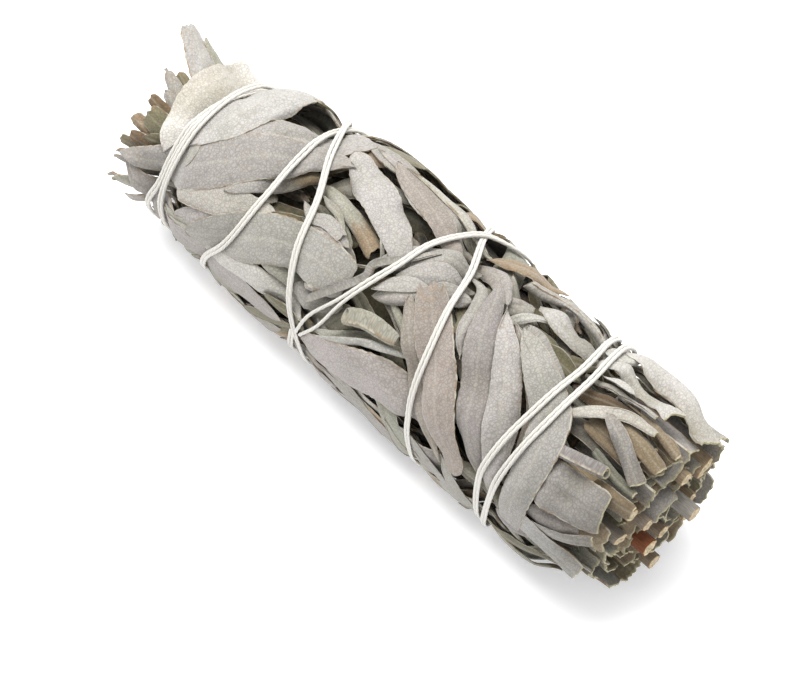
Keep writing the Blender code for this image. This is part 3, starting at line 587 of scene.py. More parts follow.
# %% Leaf colours
TINTS = {
    "mauve": (0.330, 0.309, 0.297),
    "grey": (0.314, 0.300, 0.281),
    "dusk": (0.258, 0.241, 0.232),
    "rose": (0.280, 0.247, 0.225),
    "silver": (0.375, 0.361, 0.345),
    "green": (0.310, 0.306, 0.262),
    "pale": (0.430, 0.420, 0.400),
    # painted light: paler than the leaf's own tone, to make up for the light the outermost tip leaf lacks
    "white": (0.548, 0.535, 0.515),
    "cream": (0.420, 0.400, 0.362),
    "tan": (0.290, 0.226, 0.155),
    "brown": (0.130, 0.090, 0.055),
    "olive": (0.165, 0.152, 0.098),
}


print("leaf tints:", ", ".join(TINTS))

# %% [markdown]
# ## Short names for nodes
# A material is a graph of small steps. The same four come again and again: a node with its values,
# a colour between two others, a value carried to another range, and two values put together. As
# functions they keep the graph readable.

# %% Short names for nodes


def add_node(tree, kind, **settings):
    """A node of the given kind, with its properties set and its inputs given by name."""
    made = tree.nodes.new(kind)
    for key, value in settings.items():
        if key in made.inputs:
            made.inputs[key].default_value = value
        else:
            setattr(made, key, value)
    return made


def mixed(tree, share, first, second, blend="MIX"):
    """The colour between two sockets or colours, by a share that is a socket or a number."""
    mix = add_node(tree, "ShaderNodeMix", data_type="RGBA", blend_type=blend)
    for socket, value in ((mix.inputs[0], share), (mix.inputs[6], first), (mix.inputs[7], second)):
        if hasattr(value, "is_output"):
            tree.links.new(value, socket)
        else:
            socket.default_value = value
    return mix.outputs[2]


def ramped(tree, value, low, high, to_low=0.0, to_high=1.0):
    """A value carried from one range to another, clamped."""
    ramp = add_node(tree, "ShaderNodeMapRange")
    ramp.inputs[1].default_value, ramp.inputs[2].default_value = low, high
    ramp.inputs[3].default_value, ramp.inputs[4].default_value = to_low, to_high
    tree.links.new(value, ramp.inputs[0])
    return ramp.outputs[0]


def joined(tree, first, second, operation="MULTIPLY"):
    """Two values multiplied, or put together by another operation."""
    step = add_node(tree, "ShaderNodeMath", operation=operation)
    for socket, value in ((step.inputs[0], first), (step.inputs[1], second)):
        if hasattr(value, "is_output"):
            tree.links.new(value, socket)
        else:
            socket.default_value = value
    return step.outputs[0]


def noise(tree, vector, scale, detail):
    """A noise pattern on the given coordinates."""
    made = add_node(tree, "ShaderNodeTexNoise", Scale=scale, Detail=detail)
    tree.links.new(vector, made.inputs["Vector"])
    return made


def attribute(tree, name, output="Fac"):
    """What the mesh keeps at each point under a name."""
    return add_node(tree, "ShaderNodeAttribute", attribute_name=name).outputs[output]


def add_relief(tree, shader, height, strength, distance):
    """Small relief from a height, in metres, on the shader's normal."""
    relief = add_node(tree, "ShaderNodeBump", Strength=strength, Distance=distance)
    tree.links.new(height, relief.inputs["Height"])
    tree.links.new(relief.outputs[0], shader.inputs["Normal"])


def new_material(name, roughness, specular):
    """A node material with a plain shader: the material, its tree and the shader."""
    material = bpy.data.materials.new(name)
    material.use_nodes = True
    shader = material.node_tree.nodes["Principled BSDF"]
    shader.inputs["Roughness"].default_value = roughness
    shader.inputs["Specular IOR Level"].default_value = specular
    return material, material.node_tree, shader


print("relief is given in metres:", round(0.12 * MM, 5), "m is 0.12 mm")

# %% [markdown]
# ## The leaf's finish
# The surface is pale, matt and felted. A fine net of veins cuts it into small pads: a Voronoi
# pattern, read by its distance to the cell edges, gives the net at two sizes. Drawn as a picture it
# would blur or repeat. The margin is a thin paler line with brown spots, the midrib is paler, and a
# fresh cut shows green.

# %% The leaf's finish
FINE_NET, COARSE_NET = 2.1, 0.75
MOTTLE_SHADE = (0.78, 0.80, 0.74, 1.0)
VEIN_SHADE = (0.56, 0.53, 0.51, 1.0)
FELT_LIGHT = (1.12, 1.12, 1.10, 1.0)
RIB_COLOUR = (0.46, 0.44, 0.36, 1.0)
OLD_TAN, OLD_BROWN = (0.30, 0.21, 0.13, 1.0), (0.13, 0.085, 0.05, 1.0)
MARGIN_PALE, MARGIN_BROWN = (0.45, 0.42, 0.34, 1.0), (0.22, 0.145, 0.08, 1.0)
CUT_GREEN, CUT_TAN = (0.25, 0.24, 0.14, 1.0), (0.40, 0.35, 0.24, 1.0)


def vein_net(tree, leaf_map):
    """The fine and the coarse net: 0 on a vein and 1 on a pad, on a map bent a little by a noise."""
    bend = noise(tree, leaf_map, 0.9, 2.0)
    bent = add_node(tree, "ShaderNodeVectorMath", operation="MULTIPLY_ADD")
    tree.links.new(bend.outputs["Color"], bent.inputs[0])
    bent.inputs[1].default_value = (0.5, 0.5, 0.0)
    tree.links.new(leaf_map, bent.inputs[2])
    nets = []
    for scale, vein_width in ((FINE_NET, 0.17), (COARSE_NET, 0.07)):
        cells = add_node(tree, "ShaderNodeTexVoronoi", feature="DISTANCE_TO_EDGE", Scale=scale)
        tree.links.new(bent.outputs[0], cells.inputs["Vector"])
        nets.append(ramped(tree, cells.outputs["Distance"], 0.0, vein_width))
    return nets


def leaf_material():
    """Net veins from two Voronoi patterns on the leaf's own map, over a tint kept on each vertex."""
    material, tree, shader = new_material("dried_sage_leaf", 0.85, 0.2)
    shader.inputs["Sheen Weight"].default_value = 0.2
    shader.inputs["Sheen Roughness"].default_value = 0.5
    shader.inputs["Sheen Tint"].default_value = (0.96, 0.96, 0.94, 1.0)
    fine_vein, coarse_vein = vein_net(tree, add_node(tree, "ShaderNodeUVMap", uv_map="map").outputs[0])
    place = add_node(tree, "ShaderNodeTexCoord").outputs["Object"]
    mottle = noise(tree, place, 170.0, 4.0).outputs["Fac"]
    cloud = noise(tree, place, 700.0, 3.0).outputs["Fac"]
    speck = noise(tree, place, 1500.0, 2.0).outputs["Fac"]
    tint = attribute(tree, "tint", "Color")

    colour = mixed(tree, ramped(tree, mottle, 0.35, 0.7, 0.0, 0.6), tint,
                   mixed(tree, 1.0, tint, MOTTLE_SHADE, "MULTIPLY"))
    darker = mixed(tree, 1.0, colour, VEIN_SHADE, "MULTIPLY")
    colour = mixed(tree, ramped(tree, fine_vein, 0.0, 1.0, 0.62, 0.0), colour, darker)
    colour = mixed(tree, ramped(tree, coarse_vein, 0.0, 1.0, 0.42, 0.0), colour, darker)
    lighter = mixed(tree, 1.0, colour, FELT_LIGHT, "MULTIPLY")
    colour = mixed(tree, ramped(tree, cloud, 0.4, 0.7, 0.0, 0.5), colour, lighter)
    colour = mixed(tree, ramped(tree, attribute(tree, "rib"), 0.2, 1.0, 0.0, 0.16), colour, RIB_COLOUR)
    old = mixed(tree, ramped(tree, speck, 0.35, 0.65), OLD_TAN, OLD_BROWN)
    worn = joined(tree, attribute(tree, "age"), ramped(tree, cloud, 0.38, 0.62))
    colour = mixed(tree, worn, colour, old)
    margin = mixed(tree, ramped(tree, cloud, 0.44, 0.58), MARGIN_PALE, MARGIN_BROWN)
    colour = mixed(tree, ramped(tree, attribute(tree, "edge"), 0.91, 0.98, 0.0, 0.65), colour, margin)
    cut = mixed(tree, ramped(tree, speck, 0.4, 0.6), CUT_GREEN, CUT_TAN)
    colour = mixed(tree, ramped(tree, attribute(tree, "cut"), 0.45, 0.9), colour, cut)
    tree.links.new(colour, shader.inputs["Base Color"])

    pads = joined(tree, joined(tree, fine_vein, 0.6), joined(tree, coarse_vein, 0.3), "ADD")
    height = joined(tree, pads, joined(tree, speck, 0.3), "ADD")
    add_relief(tree, shader, height, 0.45, 0.00012)
    return material


LEAF = leaf_material()
print("leaf finish:", len(LEAF.node_tree.nodes), "nodes, fine cells", round(1.0 / FINE_NET, 2), "mm across")

# %% [markdown]
# ## Packing and shade
# However many leaves cross, a real bundle stays a tight roll: the string presses the outermost
# layers together. And between the leaves it is darker than a thin cover of sheets comes out, since
# light is lost among many more of them. Both are sums on the map: a soft limit on how far out a
# place may be, and a bell-shaped loss of light about each hollow, only well below the outside.

# %% Packing and shade
PACKED_FROM, PACKED_DEPTH, PACKED_LEFT = 0.2, 1.0, 0.12
# x and angle of the middle of each hollow
HOLLOWS = [
    (-23.5, 15.0), (-33.0, -34.0), (0.0, 26.0), (38.5, 25.5), (46.8, 20.0), (48.0, -5.0),
    (42.0, 56.0), (33.0, -28.0), (-1.5, -13.5), (-39.0, 66.0), (19.5, 40.0), (41.5, -40.0),
]
HOLLOW_REACH, GLOOM = 3.2, 0.85
MM_PER_DEGREE = 0.28


def packed_radius(x, angle, out):
    """Distance from the axis once packed: outer layers pressed by a tanh, flanks swollen, string tight."""
    past = out - radius_at(x) - PACKED_FROM
    tight = PACKED_DEPTH * np.tanh(past / PACKED_DEPTH) + PACKED_LEFT * past
    pressed = np.where(past > 0.0, tight, past) + PACKED_FROM
    swell = swell_at(x, angle) * np.clip(out / 13.0, 0.0, 1.0) ** 2
    return radius_at(x) + pressed + swell - read_grid(PINCH, x, angle)


def light_left(x, angle, out):
    """The share of light in the hollows: a bell-shaped loss about each, only well below the outside."""
    low = np.clip((radius_at(x) - 1.0 - out) / 1.4, 0.0, 1.0)
    near = np.zeros_like(out)
    for hollow_x, hollow_angle in HOLLOWS:
        around = MM_PER_DEGREE * ((angle - hollow_angle + 180.0) % 360.0 - 180.0)
        near = np.maximum(near, np.exp(-((x - hollow_x) ** 2 + around ** 2) / HOLLOW_REACH ** 2))
    return (1.0 - GLOOM * low * near)[:, :, None]


middle_x, belly_angle = np.zeros(1), np.full(1, 180.0)
packed = packed_radius(middle_x, belly_angle, radius_at(middle_x) + 3.0) - radius_at(middle_x)
print("a leaf laid 3 mm past the roll is packed to", round(float(packed[0]), 2), "mm past it")

# %% [markdown]
# ## A leaf on the map
# A leaf's outline lives on a flat strip, and the bundle is round. The strip is laid on the map with
# its middle line through the given places, so across and along become an angle and an x. With it
# goes what the material reads at each point: tint, vein map, edge, age, midrib and cut end.

# %% A strip on the map and its facts


def strip_frame(points):
    """The middle line on the flat map, the directions across and along it, its length and radius."""
    mean_radius = float(np.mean(radius_at(points[:, 0]) + swell_at(points[:, 0], points[:, 1])))
    flat = np.stack([points[:, 0], np.radians(points[:, 1]) * mean_radius], axis=1)
    rough = smooth_points(flat, 60)
    length = float(np.sum(np.linalg.norm(np.diff(rough, axis=0), axis=1)))
    line = smooth_points(flat, max(12, int(length / ROW_SPACING)))
    along = np.gradient(line, axis=0)
    along /= np.linalg.norm(along, axis=1)[:, None]
    side = np.stack([-along[:, 1], along[:, 0]], axis=1)
    return line, side, along, length, mean_radius


def on_map(strip, across, shift):
    """x and angle of places given by how far across the strip they are and how far they shift along it."""
    line, side, along, _, mean_radius = strip
    x = line[:, :1] + side[:, :1] * across + along[:, :1] * shift
    around = line[:, 1:] + side[:, 1:] * across + along[:, 1:] * shift
    return x, np.degrees(around / mean_radius)


def leaf_facts(draw, rows, columns, length, half, tint, age, cut_end, margin=1.0, end_tint=None):
    """What the material reads: tint, vein map in mm, nearness to the edge, age, midrib and cut end."""
    share = np.linspace(0.0, 1.0, rows)[:, None]
    v = np.linspace(-1.0, 1.0, columns)[None, :]
    full = np.ones((rows, columns))
    variety = draw.uniform(0.88, 1.08) * (1.0 + draw.uniform(-0.014, 0.014, 3))
    turned = (1.0 / (1.0 + np.exp(-(share - 0.66 + 0.05 * np.sin(5.0 * v)) / 0.03)))[:, :, None]
    colour = (1.0 - turned) * np.array(TINTS[tint]) + turned * np.array(TINTS[end_tint or tint])
    reach = np.clip((np.abs(share - 0.5) - 0.3) / 0.2, 0.0, 1.0)
    offset = draw.uniform(-50.0, 50.0, 2)
    return {
        "tint": full[:, :, None] * colour * variety,
        "map": np.stack([share * length * full + offset[0], v * half[:, None] + offset[1]], axis=-1),
        "edge": np.abs(v) * full * margin,
        "age": age * (0.35 + 0.65 * reach) * full,
        "rib": np.exp(-(v * half[:, None] / 0.22) ** 2),
        "cut": np.clip((share * length - (length - 0.3)) / 0.3, 0.0, 1.0) * full * cut_end,
    }


print("each leaf's tint is its own by", round(100 * (1.08 - 0.88)), "percent from the darkest to the palest")

# %% [markdown]
# ## Laying a leaf
# Now it all comes together. The leaf reads the height map along its strip, rests the ribbon on it,
# adds the section and what drying does to it, and lifts the map by what it laid. Sculpting each
# leaf would give finer folds, but not leaves that rest on each other. Torn ends and the slanting
# mouths of rolled leaves are the same thing: some columns reach further along the leaf than others.

# %% Laying one leaf
LAY_STEP = 0.52
LOWEST = 2.0
END_REACH = 3.5
SHEET, ROLLED_SHEET, THINNEST, THINNED = 0.34, 0.24, 0.3, 1.6
TWIST, MARGIN_WAVE, PUCKER, RIDGES, MIDRIB = 0.34, 0.12, 0.05, 0.42, 0.16
PLEAT = 0.95
# painted shade: how much darker the leaves towards the butt's lower side are made, as if less light reached
# them
BUTT_PAINTED_SHADE = 0.32
DEEP_BY = 2.4
# painted shade deep down, as a loss in each colour, which also turns the tint to the inner leaves' greener
# brown
DEEP_SHADE_AND_OLIVE = (0.34, 0.36, 0.44)


def dried(draw, height, share, length, half, v, crease, is_open):
    """Adds to a section's height what drying does: sums of waves along and across the leaf.

    A slow twist grows with v, a faster wave of the margin with v squared. Puckers slant over the
    leaf, pleats are a cosine across it, ridges run along it, and the midrib is a bell-shaped groove.
    """
    height = height + is_open * TWIST * waves(draw, share * length, 6.0, 14.0)[:, None] * v
    height = height + is_open * MARGIN_WAVE * waves(draw, share * length, 2.2, 5.0)[:, None] * v ** 2
    height = height + PUCKER * waves(draw, share[:, None] * length + 2.0 * v * half[:, None], 1.8, 4.0)
    height = height + crease * np.cos(2.0 * np.pi * v * half[:, None] / PLEAT)
    sway = 0.6 * waves(draw, share * length, 9.0, 20.0)[:, None]
    ridge = waves(draw, v * half[:, None] + sway, 2.0, 4.5)
    height = height + is_open * RIDGES * ridge * np.sin(np.pi * share)[:, None]
    return height - is_open * MIDRIB * np.exp(-(v * half[:, None] / 0.28) ** 2)


def shaded(tint, x, angle, out):
    """The tint with painted shade: darker towards the butt's lower side, deep down and in hollows; deep down
    it also turns to the inner leaves' greener brown.
    """
    # painted shade towards the butt's lower side
    butt_painted_shade = BUTT_PAINTED_SHADE * np.clip((x - 30.0) / 14.0, 0.0, 1.0) * np.clip((angle + 25.0) / 40.0, 0.0, 1.0)
    # painted shade deep down, with the inner leaves' own greener brown
    deep = np.clip((radius_at(x) + 0.8 - out) / DEEP_BY, 0.0, 1.0)[:, :, None] * np.array(DEEP_SHADE_AND_OLIVE)
    return tint * (1.0 - butt_painted_shade)[:, :, None] * (1.0 - deep) * light_left(x, angle, out)


def lay_leaf(grid, draw, points, width, start, end, crown, tint="grey", curl=0.7, fold=0.0, roll=0.0,
             age=0.1, torn=(0.15, 0.15), rise=(0.0, 0.0), mouth=(0.0, 0.0), lift=0.0, crease=0.0,
             ragged=0.0, end_tint=None, seen=True, columns=LEAF_COLUMNS, lowest=LOWEST):
    """One leaf on the map. Its height is the ribbon's, one step, and its section's height.

    Start and end are the width's share at the two ends. Torn, rise and mouth hold a length in mm
    for each end: how deep it is torn, how far it stands up, and how far a roll's mouth slants.
    """
    points = np.array(points, float)
    if seen:
        points[:, 1] = as_seen(points[:, 0], points[:, 1])
    strip = strip_frame(points)
    rows, length = len(strip[0]), strip[3]
    share = np.linspace(0.0, 1.0, rows)
    near_start = np.clip(1.0 - share * length / END_REACH, 0.0, 1.0)[:, None]
    near_end = np.clip(1.0 - (1.0 - share) * length / END_REACH, 0.0, 1.0)[:, None]
    reach = 0.5 * width * leaf_width(share, start, end)
    half = reach * rounded(share, start, end) * (1.7 if fold else 1.0)
    flat = np.linspace(-1.0, 1.0, STRIP_COLUMNS)[None, :]
    under_x, under_angle = on_map(strip, reach[:, None] * flat, 0.0)
    under = np.maximum(read_grid(grid, under_x, under_angle), radius_at(under_x) - lowest)
    middle, slope = ribbon(under)

    rim = 1.0 + 0.03 * waves(draw, share * length, 0.9, 2.2)
    rim = rim + ragged * waves(draw, share * length, 0.8, 3.0)
    across, height = section(half * rim, crown, curl, fold, roll, columns)
    v = np.linspace(-1.0, 1.0, columns)[None, :]
    height = dried(draw, height, share, length, half, v, crease, 0.0 if roll else 1.0)
    height = height + rise[0] * near_start ** 1.5 + rise[1] * near_end ** 1.5

    facing = 0.5 * (height - height.min(axis=1, keepdims=True)) / np.maximum(half[:, None], 0.3)
    tears = waves(draw, v * width * 0.5, 1.5, 3.8)
    shift = near_end ** 1.5 * (torn[1] * tears - mouth[1] * facing)
    shift = shift - near_start ** 1.5 * (torn[0] * tears[:, ::-1] - mouth[0] * facing)
    x, angle = on_map(strip, across, shift)
    leaning = slope[:, None] * np.clip(across / reach[:, None], -1.3, 1.3)
    out = middle[:, None] + leaning + LAY_STEP + lift + height
    raise_grid(grid, x, angle, out)
    world = to_world(x, angle, packed_radius(x, angle, out))
    outward = to_world(x, angle, packed_radius(x, angle, out) + 1.0) - world
    at_butt = 1.0 if end >= 0.8 and points[-1, 0] > 46.0 else 0.0
    facts = leaf_facts(draw, rows, columns, length, half, tint, age, at_butt, 1.0, end_tint)
    facts["tint"] = shaded(facts["tint"], x, angle, out)
    from_tip = np.minimum(share, 1.0 - share + at_butt) * length
    thinned = THINNEST + (1.0 - THINNEST) * np.clip(from_tip / THINNED, 0.0, 1.0)
    thickness = (ROLLED_SHEET if roll else SHEET) * thinned
    return shell(world, outward, thickness[:, None, None], facts)


print("a leaf 30 mm long has", 2 * len(shell_faces(int(30.0 / ROW_SPACING), LEAF_COLUMNS)), "triangles")

# %% [markdown]
# ## What lies under the surface
# Between the outer leaves the eye sees into the bundle, and there are always more leaves. Filling
# all of it with sheets would cost far too many faces. So an inner body closes it off, and a first
# cover of narrow leaves lies on that, both darkened with painted shade for the depth inside. The
# golden angle spreads them evenly, and seeded draws vary them the same way on each run.

# %% The inner body and the first cover
SEED = 41
COVER_DEPTH = 5.2
INNER_DEPTH = 6.2
COVER_LEAVES = 120
# painted shade: the inner body and the first cover are darkened as the depth inside the bundle
COVER_PAINTED_SHADE = 0.6
CORE_TIP_X, CORE_BUTT_X = -47.0, 41.0
INNER_ROWS, INNER_SIDES = 64, 54


def inner_body(draw):
    """A closed roll of rings at the bundle's radius less the inner depth, ending inside the leaf ends."""
    rows, sides = INNER_ROWS, INNER_SIDES
    x = np.linspace(CORE_TIP_X, CORE_BUTT_X, rows)[:, None] * np.ones((1, sides + 1))
    angle = np.linspace(0.0, 360.0, sides + 1)[None, :] * np.ones((rows, 1))
    out = radius_at(x) - INNER_DEPTH + 0.5 * np.sin(np.radians(angle * 7.0) + 0.2 * x)
    out[0] = 0.02
    out[-1] = 0.02
    out[1] *= 0.5
    out[-2] *= 0.5
    facts = leaf_facts(draw, rows, sides + 1, 90.0, np.full(rows, 45.0), "olive", 0.7, 0.0, 0.0)
    # painted shade of the depth inside, over the inner leaves' olive
    facts["tint"] = facts["tint"] * COVER_PAINTED_SHADE * light_left(x, angle, out)
    world = to_world(x, angle, out)
    return shell(world, to_world(x, angle, out + 1.0) - world, 0.01, facts)


def cover_leaf(grid, draw, index):
    """A narrow leaf of the first cover, placed by the golden angle so that they spread evenly."""
    share = (index + 0.5) / COVER_LEAVES
    x = -47.0 + 92.0 * ((index * 0.618) % 1.0)
    angle = 360.0 * share * 7.0 + draw.uniform(-10.0, 10.0)
    length = draw.uniform(14.0, 30.0)
    turn = math.radians(draw.uniform(-38.0, 38.0))
    half_x = 0.5 * length * math.cos(turn)
    half_angle = math.degrees(0.5 * length * math.sin(turn) / BUTT_RADIUS)
    start, end = max(x - half_x, -50.0), min(x + half_x, 48.0)
    points = [(start, angle - half_angle), (0.5 * (start + end), angle + draw.uniform(-5.0, 5.0)),
              (end, angle + half_angle)]
    tint = ("olive", "brown", "green", "tan", "olive", "grey")[int(draw.integers(6))]
    leaf = lay_leaf(grid, draw, points, draw.uniform(2.6, 5.2), 0.35, 0.35, draw.uniform(0.2, 0.5), tint,
                    curl=draw.uniform(0.4, 1.0), age=0.4, seen=False, columns=7, lowest=COVER_DEPTH)
    # painted shade of the depth inside the bundle
    leaf[2]["tint"] = leaf[2]["tint"] * COVER_PAINTED_SHADE
    return leaf


draw = np.random.default_rng(SEED)
detail = np.random.default_rng(SEED + 1)
grid = RADIUS - COVER_DEPTH
cover = [inner_body(detail)] + [cover_leaf(grid, detail, index) for index in range(COVER_LEAVES)]
cover_piece = mesh_piece("leaf_cover", cover, LEAF)
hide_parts("sage_leaves")
print("mean depth of the cover below the outside:", round(float(np.mean((RADIUS - grid)[40:220])), 2), "mm")

# %% [markdown]
# ## The ends of the bundle
# At the tip, small pointed leaf ends stick out round the roll. At the butt the bundle was cut with
# a knife: leaf ends stand between the stems as thin curved sheets with a fresh green edge. They
# don't rest on each other as the outer leaves do, so each is placed by its own distance from the
# axis. The lists hold the ends that show, and rules fill what is between them.

# %% Lists of leaf ends
# x, angle and distance out at the root and at the end, width, share of it left at the end, tint
TIP_ENDS = [
    (-45, -60.8, -8, -47, 9.0, 12.6, 6.4, 0.80, "silver"),
    (-45, -57.4, -40, -50, 8.6, 12.4, 2.8, 0.5, "green"),
    (-45, -55.2, 24, 5, 9.8, 11.4, 2.8, 0.5, "grey"),
    (-45, -53.6, 12, -2, 9.0, 10.6, 2.6, 0.7, "olive"),
    (-45, -52.6, 30, 18, 9.6, 11.2, 2.6, 0.6, "mauve"),
    (-44, -52.2, 46, 41, 10.6, 12.0, 4.6, 0.8, "olive"),
    (-44, -53.2, 62, 64, 11.0, 12.4, 3.4, 0.7, "brown"),
    (-44, -55.4, 78, 88, 11.2, 12.4, 3.2, 0.5, "tan"),
    (-44, -56.4, 100, 111, 11.4, 15.0, 2.2, 0.3, "grey"),
    (-42, -54.0, 98, 103, 11.6, 15.4, 5.4, 0.4, "green"),
    (-45, -54.5, 52, 52, 10.2, 11.6, 3.0, 0.8, "tan"),
    (-45, -55.2, 70, 75, 10.6, 12.0, 2.6, 0.8, "olive"),
    (-45, -53.8, 36, 30, 10.0, 11.4, 2.4, 0.8, "brown"),
    (-45, -56.4, 92, 99, 11.0, 12.6, 2.2, 0.6, "grey"),
    (-44, -54, 150, 152, 11.0, 11.4, 6.0, 0.5, "mauve"),
    (-44, -56, 190, 192, 10.6, 10.0, 5.6, 0.3, "green"),
    (-44, -55, 236, 232, 11.2, 10.4, 6.0, 0.4, "grey"),
    (-44, -56, 282, 286, 11.0, 10.6, 5.4, 0.3, "pale"),
    (-44, -54, 20, 14, 6.6, 5.4, 6.0, 0.6, "olive"),
    (-44, -55, 120, 124, 6.6, 6.0, 6.0, 0.4, "brown"),
    (-44, -53, 230, 226, 6.6, 5.6, 6.0, 0.6, "green"),
    (-44, -52, 320, 316, 5.0, 3.6, 6.0, 0.7, "tan"),
    (-44, -53, 84, 78, 8.4, 8.4, 4.4, 0.5, "olive"),
    (-44, -53, 56, 50, 8.2, 8.0, 4.0, 0.6, "tan"),
]
BUTT_ENDS = [
    (38, 52.0, 62, 62, 13.2, 13.4, 4.6, 1.0, "tan"),
    (38, 51.0, 112, 112, 13.8, 13.4, 5.4, 0.9, "grey"),
    (38, 54.6, 6, 12, 6.2, 6.8, 5.6, 1.1, "grey"),
    (38, 54.0, 172, 172, 8.6, 6.8, 7.0, 0.9, "green"),
    (38, 52.6, 140, 140, 14.0, 13.8, 6.6, 0.9, "grey"),
    (38, 52.2, 205, 205, 13.6, 13.6, 7.0, 0.8, "mauve"),
    (38, 53.0, 238, 238, 14.2, 14.0, 6.4, 0.9, "grey"),
    (38, 52.0, 270, 270, 13.8, 13.8, 6.6, 1.0, "green"),
    (38, 53.4, 300, 302, 14.4, 15.4, 7.0, 0.9, "grey"),
    (38, 52.4, 330, 330, 12.6, 12.8, 5.0, 1.0, "mauve"),
    (38, 52.0, 350, 350, 5.0, 5.6, 4.6, 1.0, "mauve"),
    (38, 53.2, 326, 326, 7.6, 7.8, 5.0, 1.1, "olive"),
    (38, 52.6, 18, 18, 8.6, 9.0, 5.6, 1.1, "tan"),
    (38, 51.6, 94, 94, 8.8, 8.8, 4.8, 0.9, "grey"),
    (38, 52.6, 216, 216, 8.0, 8.4, 6.0, 0.8, "green"),
    (38, 53.0, 262, 262, 9.4, 9.2, 5.0, 0.9, "olive"),
]

print("leaf ends placed one by one:", len(TIP_ENDS), "at the tip,", len(BUTT_ENDS), "at the butt")

# %% [markdown]
# ## Sheets at the ends
# Three kinds of sheet make the ends: a leaf end wrapped on its own radius, one of a seeded ring of
# them between the stems, and a small crumpled sheet that stands along the axis and is turned any
# way. Random copies of one sheet would show, so each has its own bend, wave and tear.

# %% Sheets at the ends
INNER_ENDS = 14
CRUMPLED_BUTT, CRUMPLED_TIP = 34, 20


def end_leaf(grid, draw, spec, columns=15, crown=0.3, wave=0.2):
    """A leaf end at its own distance from the axis, wrapped on that radius with a slight wave."""
    root, tip, turn_root, turn_tip, out_root, out_tip, width, share_left, tint = spec
    length = abs(tip - root)
    rows = max(14, int(length / ROW_SPACING))
    share = np.linspace(0.0, 1.0, rows)
    v = np.linspace(-1.0, 1.0, columns)[None, :]
    is_butt = tip > root
    half = 0.5 * width * leaf_width(share, 1.0, share_left) * rounded(share, 1.0, share_left)
    half = half * (1.0 + 0.05 * waves(draw, share * length, 1.0, 2.5))
    out = (np.linspace(out_root, out_tip, rows)[:, None] + crown * (1.0 - v ** 2)
           + wave * waves(draw, share[:, None] * length * 0.6 + v * 2.0, 1.5, 5.0))
    tear = 0.35 * waves(draw, v * width * 0.5, 1.2, 3.6) * share[:, None] ** 3
    x = np.linspace(root, tip, rows)[:, None] + tear
    angle = np.linspace(turn_root, turn_tip, rows)[:, None] + np.degrees(half[:, None] * v / out)
    inside = np.nonzero(x.mean(axis=1) > -50.0)[0] if not is_butt else np.zeros(0, int)
    if len(inside) > 2:
        raise_grid(grid, x[inside], angle[inside], out[inside])
    out = out - read_grid(PINCH, x, angle)
    world = to_world(x, angle, out)
    age, cut = (0.15, 1.0) if is_butt else (0.5, 0.0)
    facts = leaf_facts(draw, rows, columns, length, half, tint, age, cut)
    facts["tint"] = facts["tint"] * light_left(x, angle, out)
    return shell(world, to_world(x, angle, out + 1.0) - world, SHEET, facts)


def inner_leaf(draw, index):
    """One of the leaves between the stems: set round the axis by the golden angle."""
    share = (index + 0.5) / INNER_ENDS
    out = 3.5 + 8.0 * math.sqrt(share)
    turn = index * 137.5 + draw.uniform(-12.0, 12.0)
    reach = draw.uniform(49.5, 53.0)
    tint = ("olive", "green", "grey", "tan", "mauve")[index % 5]
    out_tip = out + draw.uniform(-0.6, 0.8)
    return 38.0, reach, turn, turn, out, out_tip, draw.uniform(3.4, 5.6), draw.uniform(0.8, 1.1), tint


def crumpled_end(draw, index, count, root, reach, spread, tints):
    """A small sheet between the others: a curved section, turned any way, standing along the axis."""
    rows, columns = 16, 15
    radius = spread * math.sqrt((index + 0.5) / count)
    turn = math.radians(index * 137.5 + 40.0)
    bend = draw.uniform(1.4, 3.4)
    sweep = draw.uniform(1.2, 2.6)
    facing = draw.uniform(0.0, 6.28)
    tip = reach + draw.uniform(-1.8, 1.2)
    share = np.linspace(0.0, 1.0, rows)[:, None]
    v = np.linspace(-1.0, 1.0, columns)[None, :]
    theta = facing + 0.5 * sweep * v
    opening = bend * (1.0 + 0.15 * share)
    y = radius * math.sin(turn) + opening * np.cos(theta) - bend * math.cos(facing)
    z = radius * math.cos(turn) + opening * np.sin(theta) - bend * math.sin(facing)
    x = root + (tip - root) * share + 0.3 * share ** 2 * waves(draw, v * 3.0, 1.2, 3.0)
    angle = np.degrees(np.arctan2(-y, z))
    world = to_world(x * np.ones_like(y), angle, np.hypot(y, z))
    facts = leaf_facts(draw, rows, columns, abs(tip - root), np.full(rows, bend * sweep * 0.5),
                       tints[index % len(tints)], 0.25, 1.0 if tip > root else 0.0)
    facts["tint"] = facts["tint"] * light_left(x * np.ones_like(y), angle, np.hypot(y, z))
    return shell(world, grid_normals(world), 0.28, facts)


inner = [inner_leaf(draw, index) for index in range(INNER_ENDS)]
ends = [end_leaf(grid, detail, spec) for spec in TIP_ENDS + BUTT_ENDS + inner]
butt_tints = ("olive", "grey", "tan", "green", "mauve")
ends += [crumpled_end(detail, k, CRUMPLED_BUTT, 39.0, 52.6, 12.6, butt_tints) for k in range(CRUMPLED_BUTT)]
ends += [crumpled_end(detail, k, CRUMPLED_TIP, -44.0, -51.5, 8.4, ("brown", "olive", "grey", "tan"))
         for k in range(CRUMPLED_TIP)]
mesh_piece("leaf_ends", ends, LEAF)

# %% [markdown]
# ## The far side and the flanks
# No picture shows the far side, but the bundle is looked at from there too. Copying the near side
# round would show as a twin. So broad leaves are set out there in staggered rows, and narrower ones
# along the two flanks, all with the sizes and slants of the near side and a seeded draw.

# %% Leaves on the far side and on the flanks
FOLDED_BY = 2.9
BACK_LEAVES = 28
BACK_TURN = 24.0
BACK_TINTS = ("grey", "mauve", "green", "pale", "grey", "tan", "mauve")
FLANK_LEAVES = 11
FLANK_LOWEST = 3.4
FLANK_ROWS = (-96.0, -76.0, 106.0, 124.0)


